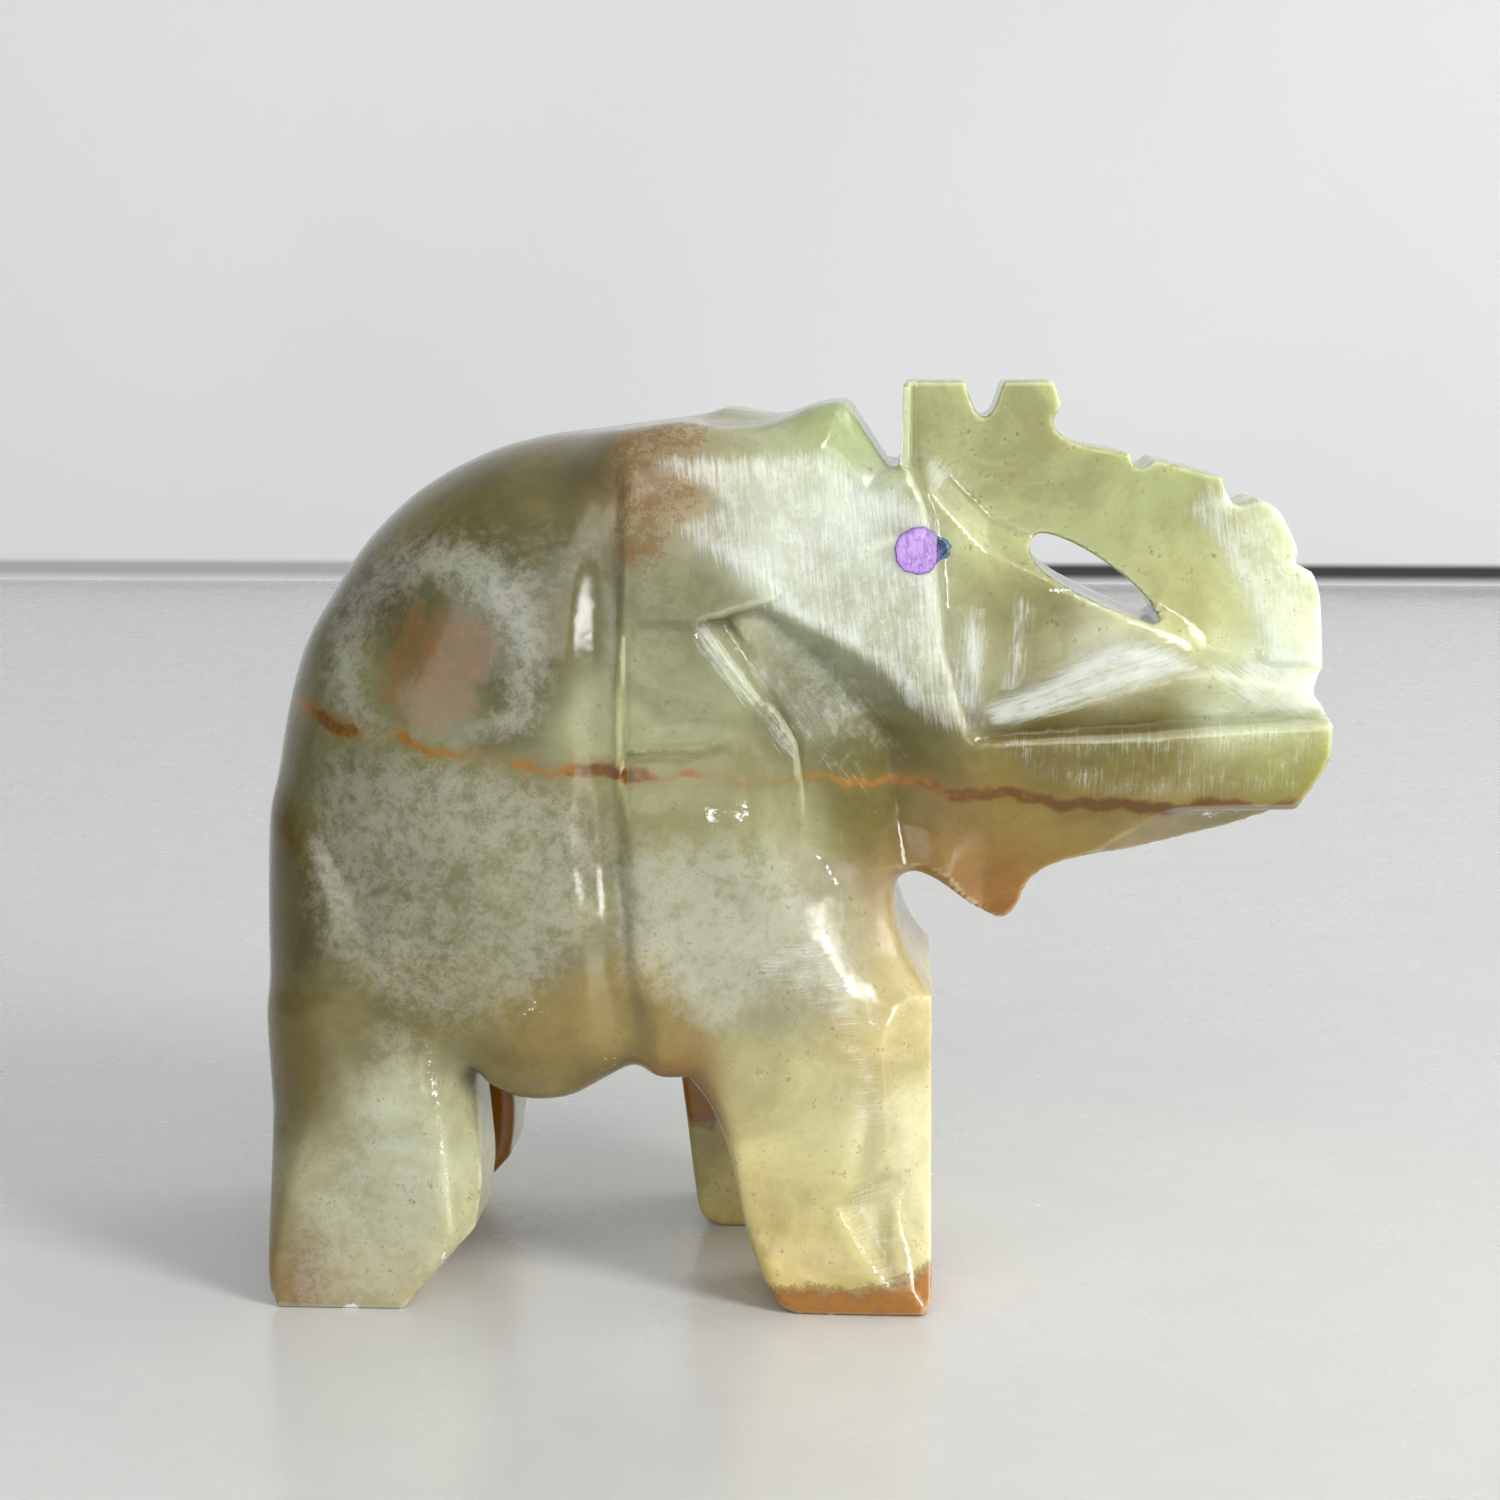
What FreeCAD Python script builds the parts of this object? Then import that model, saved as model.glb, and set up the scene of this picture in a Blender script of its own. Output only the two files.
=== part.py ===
"""Carved onyx elephant, standing, with its trunk raised and curled back to its forehead.

The whole animal is one block of banded green stone. It is sawn to a side outline, ground to shape
from both sides, pierced between trunk and forehead, slotted between the legs, and finished with
small wheel-cut notches along the trunk. The only other pieces are the two dots of eye ink, one on
each temple.

Frame: millimetres, +X towards the trunk, +Y to the animal's left, +Z up. The origin is on the
table, under the middle of the bounding box. Every sub-part is written to parts/NODE.step.
"""

import math
import os

import FreeCAD
import Part

V = FreeCAD.Vector

# Driving dimensions
LENGTH = 75.2  # tail to tusk tips
HEIGHT = 63.6  # soles to the flat top of the trunk tip
WIDTH = 34.0  # across the barrel

REAR = -LENGTH / 2
FRONT = LENGTH / 2

# Tail: a low ridge left standing on the rump
TAIL_RELIEF = 1.3
TAIL_HALF_WIDTH = 1.2
RUMP = REAR + TAIL_RELIEF

# Legs: the lengthwise saw slot leaves a left and a right leg at each end
SLOT_HALF_WIDTH = 4.5
SLOT_TOP = 14.5
HIND_LEG_OUTER = 15.2  # |Y| of the outer face, at the hind legs
FORE_LEG_OUTER = 14.4  # |Y| of the outer face, at the forelegs

# Trunk: a flat plate left standing in the middle of the block
TRUNK_HALF_WIDTH = 5.0
TUSK_GAP_HALF_WIDTH = 1.7  # saw cut between the two tusks
TUSK_GAP_LENGTH = 11.0
TUSK_OUTER = 8.6

# Ears: raised plateaus on the sides of the head
EAR_OUTER = 15.2
EAR_INNER = 9.0

# Eyes: a dot of ink on a small flat ground on each temple
EYE_X = 9.0
EYE_Z = 52.2
EYE_FLAT_Y = 9.9  # |Y| of the flat
EYE_FLAT_RADIUS = 2.3
INK_HALF_LENGTH = 1.85
INK_HALF_HEIGHT = 1.6
INK_THICKNESS = 0.12

SECTION_POINTS = 20


def outline(runs):
    """Closed wire in the XZ plane. Each run is a list of (x, z): two points are a straight edge,
    more are a smooth curve through them. Each run starts where the one before it ends."""
    edges = []
    start = runs[-1][-1]
    for run in runs:
        points = [V(x, 0, z) for x, z in [start] + run]
        if len(points) == 2:
            edges.append(Part.LineSegment(*points).toShape())
        else:
            curve = Part.BSplineCurve()
            curve.interpolate(points)
            edges.append(curve.toShape())
        start = run[-1]
    return Part.Wire(edges)


def plate(wire, y_low, y_high):
    """The solid between two Y planes whose side view is this wire."""
    face = Part.Face(wire)
    face.translate(V(0, y_low, 0))
    return face.extrude(V(0, y_high - y_low, 0))


def polygon_plate(points, y_low, y_high):
    """A plate whose outline is straight from point to point."""
    return plate(Part.makePolygon([V(x, 0, z) for x, z in points + points[:1]]), y_low, y_high)


def rounded_section(place, half_a, half_b, power):
    """Closed superellipse |a/A|^power + |b/B|^power = 1, as a smooth periodic curve.
    place(a, b) gives the point in space for the section's own coordinates."""
    points = []
    for i in range(SECTION_POINTS):
        angle = 2 * math.pi * (i + 0.5) / SECTION_POINTS
        c = math.cos(angle)
        s = math.sin(angle)
        a = half_a * math.copysign(abs(c) ** (2 / power), c)
        b = half_b * math.copysign(abs(s) ** (2 / power), s)
        points.append(place(a, b))
    curve = Part.BSplineCurve()
    curve.interpolate(points, PeriodicFlag=True)
    return Part.Wire([curve.toShape()])


def body_loft(stations, power):
    """Solid along X through superellipse sections: (x, lowest z, highest z, half width)."""
    sections = []
    for x, low, high, half_width in stations:
        middle = (low + high) / 2

        def place(a, b, x=x, middle=middle):
            return V(x, a, middle + b)

        sections.append(rounded_section(place, half_width, (high - low) / 2, power))
    return Part.makeLoft(sections, True, False)


def leg_loft(stations, inner, outer, side, power=3.4):
    """Leg along Z through superellipse sections: (z, rear x, front x, how far the sides taper in).
    side is -1 for the animal's right and +1 for its left."""
    sections = []
    for z, rear, front, taper in stations:
        x_middle = (rear + front) / 2
        y_middle = side * (inner + outer) / 2

        def place(a, b, z=z, x_middle=x_middle, y_middle=y_middle):
            return V(x_middle + a, y_middle + b, z)

        half_y = (outer - inner) / 2 - taper
        sections.append(rounded_section(place, (front - rear) / 2, half_y, power))
    return Part.makeLoft(sections, True, False)


def both_sides(shape):
    """The shape and its mirror image across the XZ plane."""
    return [shape, shape.mirror(V(0, 0, 0), V(0, 1, 0))]


def barrel():
    """Rump, barrel, shoulders and chest."""
    half = WIDTH / 2
    return body_loft(
        [
            (RUMP, 19.0, 37.0, 8.0),
            (RUMP + 1.2, 13.5, 42.6, 11.4),
            (RUMP + 3.6, 10.5, 48.6, 14.2),
            (RUMP + 7.6, 9.6, 54.2, half - 1.0),
            (RUMP + 12.6, 10.6, 58.0, half),
            (RUMP + 18.6, 12.0, 60.0, half),
            (-12.5, 14.0, 60.5, half - 1.4),
            (-5.0, 15.0, 60.8, half - 2.6),
            (2.0, 17.0, 60.4, 12.6),
            (7.0, 21.0, 56.0, 9.6),
            (9.2, 25.0, 50.0, 6.6),
        ],
        2.6,
    )


def tail():
    """The tail, lying down the middle of the rump."""
    wire = outline(
        [
            [(REAR + 0.5, 33.0), (REAR + 1.5, 38.5), (REAR + 3.6, 43.5)],
            [(REAR + 6.0, 43.5)],
            [(REAR + 6.0, 16.0)],
            [(REAR + 0.9, 16.0)],
            [(REAR, 18.5)],
            [(REAR, 25.0)],
        ]
    )
    return plate(wire, -TAIL_HALF_WIDTH, TAIL_HALF_WIDTH)


def head():
    """Skull and muzzle, down to the tusk tips."""
    return body_loft(
        [
            (-6.0, 33.0, 60.8, 12.6),
            (-1.0, 31.0, 61.2, 12.0),
            (3.8, 29.6, 62.2, 11.6),
            (8.0, 29.4, 57.8, 11.3),
            (13.0, 30.0, 53.0, 9.4),
            (19.0, 30.4, 49.8, 8.0),
            (24.0, 31.0, 46.8, 7.6),
            (29.0, 31.8, 43.8, 7.3),
            (34.0, 33.2, 41.2, 6.9),
            (FRONT, 36.6, 40.0, 6.0),
        ],
        2.9,
    )


def lower_lip():
    """The pointed lip under the muzzle."""
    wire = outline(
        [
            [(22.0, 30.8)],
            [(18.4, 29.6), (16.9, 27.4), (15.4, 25.9)],
            [(12.6, 27.6), (10.7, 29.2), (8.6, 29.6)],
            [(8.6, 34.0)],
            [(22.0, 34.0)],
        ]
    )
    return plate(wire, -4.6, 4.6)


def trunk():
    """The raised trunk as a plate, with its hole, toothed tip and wheel-cut notches."""
    top = HEIGHT
    wire = outline(
        [
            [(8.3, top)],
            [(18.6, top)],
            [(19.2, 60.0)],
            [(22.2, 59.0), (28.6, 57.6), (31.0, 56.5), (34.2, 54.6), (36.6, 50.4), (FRONT, 46.3)],
            [(FRONT, 40.0)],
            [(27.0, 40.0)],
            [(17.0, 44.0)],
            [(8.3, 52.0)],
        ]
    )
    solid = plate(wire, -TRUNK_HALF_WIDTH, TRUNK_HALF_WIDTH)
    reach = TRUNK_HALF_WIDTH + 6.0
    hole = outline(
        [
            [(17.6, 53.2), (19.6, 52.8), (23.0, 50.7), (25.4, 48.5), (26.0, 47.2)],
            [(23.7, 47.6), (20.4, 49.0), (18.0, 50.4), (17.1, 51.8)],
        ]
    )
    solid = solid.cut(plate(hole, -reach, reach))
    tip_notch = outline([[(12.5, top + 1)], [(13.3, 61.6), (13.9, 61.1), (14.5, 61.6)], [(15.2, top + 1)]])
    solid = solid.cut(plate(tip_notch, -reach, reach))
    # x, z and radius of each small wheel cut along the trunk's outer edge
    wheel_cuts = [
        (19.4, 61.0, 0.8),
        (24.5, 58.8, 1.0),
        (31.6, 56.6, 1.4),
        (36.3, 51.7, 1.1),
        (FRONT + 0.2, 42.3, 1.1),
    ]
    for x, z, radius in wheel_cuts:
        wheel = Part.makeCylinder(radius, 2 * reach, V(x, -reach, z), V(0, 1, 0))
        solid = solid.cut(wheel)
    return solid, plate(hole, -reach, reach)


def ears():
    """Ear plateaus with pointed lobes, one on each side, rounded to follow the shoulders."""
    lobes = polygon_plate(
        [
            (-10.9, 38.8),
            (-11.0, 61.4),
            (-4.3, 61.4),
            (-3.9, 60.2),
            (-7.9, 58.9),
            (-3.9, 56.5),
            (-4.3, 55.3),
            (-7.0, 54.2),
            (-0.6, 50.2),
            (-1.0, 49.2),
            (-5.2, 47.6),
            (-1.6, 42.6),
            (-2.0, 40.2),
            (-5.9, 37.8),
        ],
        -EAR_OUTER - 1,
        -EAR_INNER,
    )
    envelope = body_loft(
        [
            (-13.0, 28.0, 61.2, EAR_OUTER + 0.3),
            (-8.0, 28.0, 61.6, EAR_OUTER),
            (-3.0, 28.0, 61.2, EAR_OUTER - 0.6),
            (2.0, 28.0, 60.8, EAR_OUTER - 1.4),
        ],
        2.7,
    )
    return both_sides(lobes.common(envelope))


def legs():
    """Four legs. The right foreleg strides forward and the left one stands back."""
    hind = [
        (0.0, -34.6, -25.6, 0.6),
        (2.5, -35.2, -22.8, 0.3),
        (5.5, -35.7, -21.0, 0.1),
        (12.0, -36.2, -21.0, 0.0),
        (20.0, -36.2, -20.0, 0.0),
        (30.0, -34.8, -20.0, 0.6),
        (38.0, -31.0, -21.0, 1.8),
    ]
    right_fore = [
        (0.0, 1.4, 10.0, 0.6),
        (4.5, -1.5, 10.3, 0.3),
        (11.0, -3.0, 10.3, 0.1),
        (17.0, -6.2, 10.3, 0.0),
        (23.0, -9.2, 10.0, 0.0),
        (29.0, -9.4, 7.0, 0.5),
        (36.0, -8.8, 3.4, 1.6),
    ]
    left_fore = [
        (0.0, -6.4, 3.4, 0.6),
        (3.0, -7.6, 4.6, 0.3),
        (11.0, -8.2, 6.6, 0.1),
        (17.0, -9.0, 9.0, 0.0),
        (23.0, -9.2, 9.6, 0.0),
        (29.0, -9.4, 7.0, 0.5),
        (36.0, -8.8, 3.4, 1.6),
    ]
    return [
        leg_loft(hind, SLOT_HALF_WIDTH, HIND_LEG_OUTER, -1),
        leg_loft(hind, SLOT_HALF_WIDTH, HIND_LEG_OUTER, 1),
        leg_loft(right_fore, SLOT_HALF_WIDTH, FORE_LEG_OUTER, -1),
        leg_loft(left_fore, SLOT_HALF_WIDTH, FORE_LEG_OUTER, 1),
    ]


def tusks():
    """Short tusks along the muzzle, ground flat on the outside."""
    profile = outline(
        [
            [(FRONT, 40.4)],
            [(16.0, 39.3)],
            [(14.6, 38.0), (16.0, 36.6)],
            [(20.6, 34.6)],
            [(35.2, 34.0)],
        ]
    )
    return both_sides(plate(profile, -TUSK_OUTER, -TUSK_GAP_HALF_WIDTH))


def shoulder_groove():
    """The V cut that parts the ear and foreleg from the barrel."""
    deepest = -EAR_OUTER + 0.9
    cross = Part.makePolygon([V(-0.9, -18.6, 0), V(0, deepest, 0), V(0.9, -18.6, 0), V(-0.9, -18.6, 0)])
    low = cross.copy()
    low.translate(V(-9.4, 0.7, 17.0))
    middle = cross.copy()
    middle.translate(V(-11.2, 0, 30.0))
    high = cross.copy()
    high.translate(V(-11.9, 0.6, 53.0))
    return both_sides(Part.makeLoft([low, middle, high], True, False))


def carving():
    """The stone: everything fused, then the cuts that the carver makes last."""
    trunk_plate, hole = trunk()
    stone = barrel().fuse([tail(), head(), lower_lip(), trunk_plate] + tusks() + ears() + legs())
    stone = stone.cut(hole)
    slot_corner = V(REAR - 5, -SLOT_HALF_WIDTH, -5)
    slot = Part.makeBox(LENGTH + 10, 2 * SLOT_HALF_WIDTH, SLOT_TOP + 5, slot_corner)
    gap_corner = V(FRONT - TUSK_GAP_LENGTH, -TUSK_GAP_HALF_WIDTH, 28)
    tusk_gap = Part.makeBox(TUSK_GAP_LENGTH + 5, 2 * TUSK_GAP_HALF_WIDTH, 12, gap_corner)
    cuts = [slot, tusk_gap] + shoulder_groove()
    for side in (-1, 1):
        flat = Part.makeCylinder(EYE_FLAT_RADIUS, 8, V(EYE_X, side * EYE_FLAT_Y, EYE_Z), V(0, side, 0))
        cuts.append(flat)
    stone = stone.cut(cuts)
    return stone


def eye_ink(side):
    """One dot of ink: a thin ellipse lying on the temple's flat."""
    ellipse = Part.Ellipse(V(0, 0, 0), INK_HALF_LENGTH, INK_HALF_HEIGHT).toShape()
    dot = Part.Face(Part.Wire([ellipse]))
    dot.rotate(V(0, 0, 0), V(1, 0, 0), 90)
    dot.translate(V(EYE_X, side * EYE_FLAT_Y, EYE_Z))
    return dot.extrude(V(0, side * INK_THICKNESS, 0))


def write(node, shape):
    os.makedirs("parts", exist_ok=True)
    shape.exportStep(f"parts/{node}.step")
    box = shape.BoundBox
    print(f"{node}: {len(shape.Solids)} solid(s), valid {shape.isValid()}, {shape.Volume / 1000:.2f} cm3")
    low_corner = f"{box.XMin:.2f}, {box.YMin:.2f}, {box.ZMin:.2f}"
    high_corner = f"{box.XMax:.2f}, {box.YMax:.2f}, {box.ZMax:.2f}"
    print(f"  from {low_corner} to {high_corner}")


write("carved_elephant", carving())
write("right_eye_ink", eye_ink(-1))
write("left_eye_ink", eye_ink(1))
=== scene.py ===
# %% [markdown]
# # An onyx elephant, carved with arrays
#
# The elephant is one block of stone. A carver saws its side outline, then grinds both sides down to
# a relief. It could be modelled by pushing a mesh about, but then every facet would be a guess in
# three dimensions. This scene works as the carver does, in numpy: a side outline, a relief that says
# how thick the stone is at every point of the side view, and a few saw cuts. All lengths are in
# millimetres until the mesh is built. X points to the trunk, Y to the animal's left, Z up.

import math

import bpy
import numpy as np
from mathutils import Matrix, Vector


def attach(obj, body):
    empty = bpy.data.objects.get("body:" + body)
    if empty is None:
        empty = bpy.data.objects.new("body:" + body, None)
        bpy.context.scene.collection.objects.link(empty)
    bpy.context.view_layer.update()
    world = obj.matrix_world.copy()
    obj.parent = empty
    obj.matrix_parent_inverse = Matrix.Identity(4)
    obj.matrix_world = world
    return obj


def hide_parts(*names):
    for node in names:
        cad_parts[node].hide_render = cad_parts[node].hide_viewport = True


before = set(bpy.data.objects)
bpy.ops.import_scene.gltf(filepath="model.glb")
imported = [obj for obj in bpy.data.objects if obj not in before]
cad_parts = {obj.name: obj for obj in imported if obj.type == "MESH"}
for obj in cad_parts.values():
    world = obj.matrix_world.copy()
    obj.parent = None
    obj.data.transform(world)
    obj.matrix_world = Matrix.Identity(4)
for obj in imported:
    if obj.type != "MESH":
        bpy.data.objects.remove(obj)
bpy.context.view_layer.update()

# %% [markdown]
# ## 1. Curves and distances in the side view
#
# An outline is a list of runs. A run of one point is a straight edge, and a longer run is a smooth
# curve. The corner between two runs stays sharp. `signed_distance` measures how far each point of a
# grid is from such an outline: negative inside, positive outside.


# %% Outline tools
def smooth_curve(points, pieces=8):
    """Catmull-Rom curve through the points: each piece is a cubic in t between two of them."""
    points = np.asarray(points, float)
    padded = np.vstack([2 * points[0] - points[1], points, 2 * points[-1] - points[-2]])
    t = np.linspace(0, 1, pieces, endpoint=False)[None, :, None]
    p0, p1, p2, p3 = (padded[i : len(points) - 1 + i, None, :] for i in range(4))
    curve = p1 + 0.5 * t * (p2 - p0 + t * (2 * p0 - 5 * p1 + 4 * p2 - p3 + t * (3 * (p1 - p2) + p3 - p0)))
    return np.vstack([curve.reshape(-1, 2), points[-1]])


def outline(runs):
    """Closed polygon from runs of points. Each run starts where the one before it ends."""
    start = runs[-1][-1]
    pieces = []
    for run in runs:
        points = [start] + run
        pieces.append(np.array(points[:1], float) if len(run) == 1 else smooth_curve(points)[:-1])
        start = run[-1]
    return np.vstack(pieces)


def signed_distance(polygon, x, z):
    """Distance to the nearest edge of a closed polygon, negative inside it (even-odd rule)."""
    nearest = np.full(np.broadcast(x, z).shape, 1e9)
    inside = np.zeros(nearest.shape, bool)
    for (ax, az), (bx, bz) in zip(polygon, np.roll(polygon, -1, axis=0)):
        ux, uz = bx - ax, bz - az
        t = np.clip(((x - ax) * ux + (z - az) * uz) / (ux * ux + uz * uz + 1e-12), 0, 1)
        nearest = np.minimum(nearest, (x - ax - t * ux) ** 2 + (z - az - t * uz) ** 2)
        if az != bz:
            inside ^= ((az > z) != (bz > z)) & (x < ax + (z - az) * ux / uz)
    return np.sqrt(nearest) * np.where(inside, -1, 1)


def smooth_step(low, high, value):
    """0 below low, 1 above high, and an S curve 3t^2 - 2t^3 between them."""
    t = np.clip((value - low) / (high - low), 0, 1)
    return t * t * (3 - 2 * t)


def soft_max(a, b, k):
    """The larger of two fields, with their crease rounded over a width k."""
    h = np.clip(0.5 + 0.5 * (a - b) / k, 0, 1)
    return b + (a - b) * h + k * h * (1 - h)


def soft_min(a, b, k):
    """The smaller of two fields, with a rounded crease."""
    return -soft_max(-a, -b, k)


# %% [markdown]
# ## 2. The side outline
#
# The two sides share one outline except for the forelegs: the right one strides forward and the left
# one stands back. So there are two outlines, made from the same back, head, trunk and belly.

# %% Back, head and trunk, from the rear sole over the top to the throat
TOP_RUNS = [
    [(-35.6, 2.4), (-35.9, 10.7), (-36.4, 22), (-36.3, 31), (-35.8, 37.6), (-34.4, 43.9), (-32.6, 48.0),
     (-29.9, 52.2), (-26.2, 55.8), (-21.8, 58.3), (-17.6, 59.6), (-13.5, 60.1), (-10.7, 60.4)],
    [(-7, 60.9), (-4.8, 60.6), (-2.1, 60.6), (0, 61.1), (1.8, 61.9), (3.6, 62.2), (4.3, 61.9)],
    [(5.4, 60.2), (6.9, 57.9)],
    [(7.8, 57.8)],
    [(8.0, 63.2)],
    [(8.3, 63.55)],
    [(12.3, 63.55)],
    [(12.7, 62.2), (13.1, 61.4), (13.6, 61.1), (14.1, 61.4), (14.5, 62.2), (14.9, 63.55)],
    [(18.3, 63.6)],
    [(18.7, 62.6), (18.9, 61.6)],
    [(18.45, 61.2), (18.4, 60.5), (18.9, 59.9)],
    [(20.1, 59.3), (21.9, 58.9), (23.7, 58.6)],
    [(23.9, 57.9), (24.6, 57.6), (25.4, 58.2)],
    [(30.0, 57.0)],
    [(30.2, 56.2)],
    [(30.7, 55.3), (31.4, 55.0), (32.7, 55.5)],
    [(33.9, 54.7), (34.8, 53.2), (35.3, 52.0)],
    [(35.2, 51.0)],
    [(36.4, 50.4)],
    [(36.9, 48.8), (37.1, 46.3), (37.2, 43.8)],
    [(36.6, 42.6), (36.6, 41.9), (37.2, 41.2)],
    [(37.6, 40.1)],
    [(37.3, 37.4), (35.1, 33.9)],
    [(33.3, 32.8), (29, 31.8), (24.1, 30.9), (21.3, 30.7), (18.4, 29.8), (17.0, 28.6), (16.4, 27.0)],
    [(15.7, 26.1), (14.9, 25.9), (13.7, 26.6), (12.3, 27.7), (10.5, 29), (9.0, 29.6), (7.9, 29.1),
     (7.7, 27.6), (8.1, 25.4), (9.0, 23.4), (10.3, 21.4)],
]

# %% The two forelegs, the belly and the hind leg
RIGHT_FORELEG = [
    [(10.4, 0.9)],
    [(10.0, 0)],
    [(1.3, 0)],
    [(-0.2, 0.7), (-1.8, 3.4), (-2.9, 7.4), (-3.7, 11), (-5.0, 14.1), (-6.4, 16.0)],
]
LEFT_FORELEG = [
    [(8.9, 18), (6.2, 12), (4.6, 5), (4.2, 0.8)],
    [(3.6, 0)],
    [(-5.4, 0)],
    [(-6.7, 0.8), (-7.2, 2.6), (-7.9, 8.5), (-8.3, 12), (-8.1, 15.0), (-7.6, 16.0)],
]
BELLY = [(-8.6, 15.9), (-10.4, 16.1), (-12.6, 15.0), (-15, 13.9), (-18, 13.7), (-20.4, 14.5), (-21.6, 15.6)]
HIND_LEG = [[(-21.2, 12.6), (-20.9, 8.5), (-21.3, 5.2)], [(-26.0, 0)], [(-34.8, 0)]]
LEFT_TOP = [
    TOP_RUNS[0],
    [(-7, 60.9), (-4.6, 61.5), (-2.4, 61.2), (-0.6, 61.1), (1.8, 61.9), (3.6, 62.2), (4.3, 61.9)],
]

# %% Both outlines, and the hole between trunk and forehead
side_outlines = [
    outline(TOP_RUNS + RIGHT_FORELEG + [BELLY] + HIND_LEG),
    outline(LEFT_TOP + TOP_RUNS[2:] + LEFT_FORELEG + [BELLY] + HIND_LEG),
]
loop_outline = outline([
    [(17.3, 53.0), (18.6, 52.9), (20.8, 51.9), (23.3, 50.2), (25.1, 48.5), (25.9, 47.2)],
    [(25.4, 46.9), (23.4, 47.6), (20.9, 48.7), (18.8, 49.8), (17.2, 51.1), (16.8, 52.1)],
])
print("outline points:", [len(o) for o in side_outlines], "trunk loop:", len(loop_outline))

# %% [markdown]
# ## 3. The relief
#
# `half_width(x, z)` is how far the stone reaches from the middle plane, and `edge_radius(x, z)` how
# round its edge is there. Both start as a soft average of values at a few places. The carver's cuts
# then take material away: a flat facet is a plane, a wheel cut is a shallow trough.

# %% Base thickness and roundness: x, z, half width, edge radius
PLACES = np.array([
    (-36, 3, 15.5, 4.5), (-36, 14, 15.6, 7), (-37, 28, 16.4, 10), (-34, 42, 16.4, 13), (-28, 51, 16.4, 15),
    (-17, 57, 16.0, 15), (-25, 34, 17.2, 15), (-14, 42, 16.6, 16), (-16, 24, 16.6, 10), (-17, 16, 16.0, 8),
    (-29, 12, 15.6, 5), (-23, 7, 15.0, 2.5), (-31, 1, 15.5, 1.4), (-26, 1, 15.5, 1.2), (-9, 58, 15.4, 5),
    (-3, 58, 14.2, 3.5), (3, 59, 11, 5), (-6, 48, 15.4, 10), (-6, 32, 15.2, 8), (0, 24, 14.7, 5),
    (-2, 14, 14.4, 2.4), (0, 6, 14.8, 2.0), (8, 16, 14.2, 1.6), (5, 1, 15.3, 0.7), (10, 8, 14.8, 1.2),
    (4, 38, 13.6, 8), (7, 48, 12.5, 5), (8, 28, 11, 4), (14, 28, 8, 2.4), (20, 32, 8.6, 3),
    (30, 33, 8.4, 2.4), (36, 36, 8.2, 0.8), (37, 40, 8.2, 0.3), (24, 40, 9.2, 3), (12, 58, 9, 0.6),
    (9, 61, 9, 0.5), (17, 62, 9, 0.5), (26, 54, 9, 0.5), (34, 50, 9, 0.6), (36, 44, 9, 0.6),
], float)


# %% Averages and wheel cuts
def soft_average(x, z, values, spread=3.6):
    """Average of the values at PLACES, weighted by exp(-(distance/spread)^2 / 2)."""
    total = np.full(np.broadcast(x, z).shape, 1e-12)
    result = 0 * total
    for (px, pz), value in zip(PLACES[:, :2], values):
        weight = np.exp(-((x - px) ** 2 + (z - pz) ** 2) / (2 * spread**2)) + 1e-9
        total += weight
        result += weight * value
    return result / total


def wheel_cut(x, z, centre, angle, depth_at, across, along):
    """Trough left by a grinding wheel: depth_at + s^2/(2 across) + u^2/(2 along), where u runs along
    the cut and s across it."""
    c, s = math.cos(math.radians(angle)), math.sin(math.radians(angle))
    u = (x - centre[0]) * c + (z - centre[1]) * s
    v = (z - centre[1]) * c - (x - centre[0]) * s
    return depth_at + v * v / (2 * across) + u * u / (2 * along)


# %% The ear's outline and the groove behind the ear
EAR = outline([
    [(-11.3, 47), (-11.2, 52), (-11.4, 56.5), (-11.0, 59.5), (-10, 63)],
    [(-3.6, 63)],
    [(-4.2, 60.2)],
    [(-8.0, 58.9)],
    [(-6.2, 58.0), (-4.4, 57.1), (-3.8, 56.0), (-4.8, 55.0), (-7.1, 54.2)],
    [(-4.2, 52.7), (-1.3, 50.6), (-0.5, 49.7), (-1.4, 49.0), (-5.5, 47.8)],
    [(-3.6, 45.2), (-1.5, 42.3)],
    [(-1.4, 41.3), (-3.0, 40.0), (-6, 39.0), (-10.4, 38.9)],
])
# Height above the table, and the groove's x there
GROOVE_X = ([17, 20, 24.4, 31, 36, 40, 46, 52, 56, 59],
            [-9.3, -9.7, -10.3, -10.8, -11.0, -11.1, -11.0, -10.9, -10.8, -11.1])
print("ear outline points:", len(EAR))

# %% [markdown]
# The muzzle and the neck are lofted. A few feature lines run along them, and the surface is straight
# from each line to the next, which gives the flat facets and crisp ridges of a ground stone.

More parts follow.
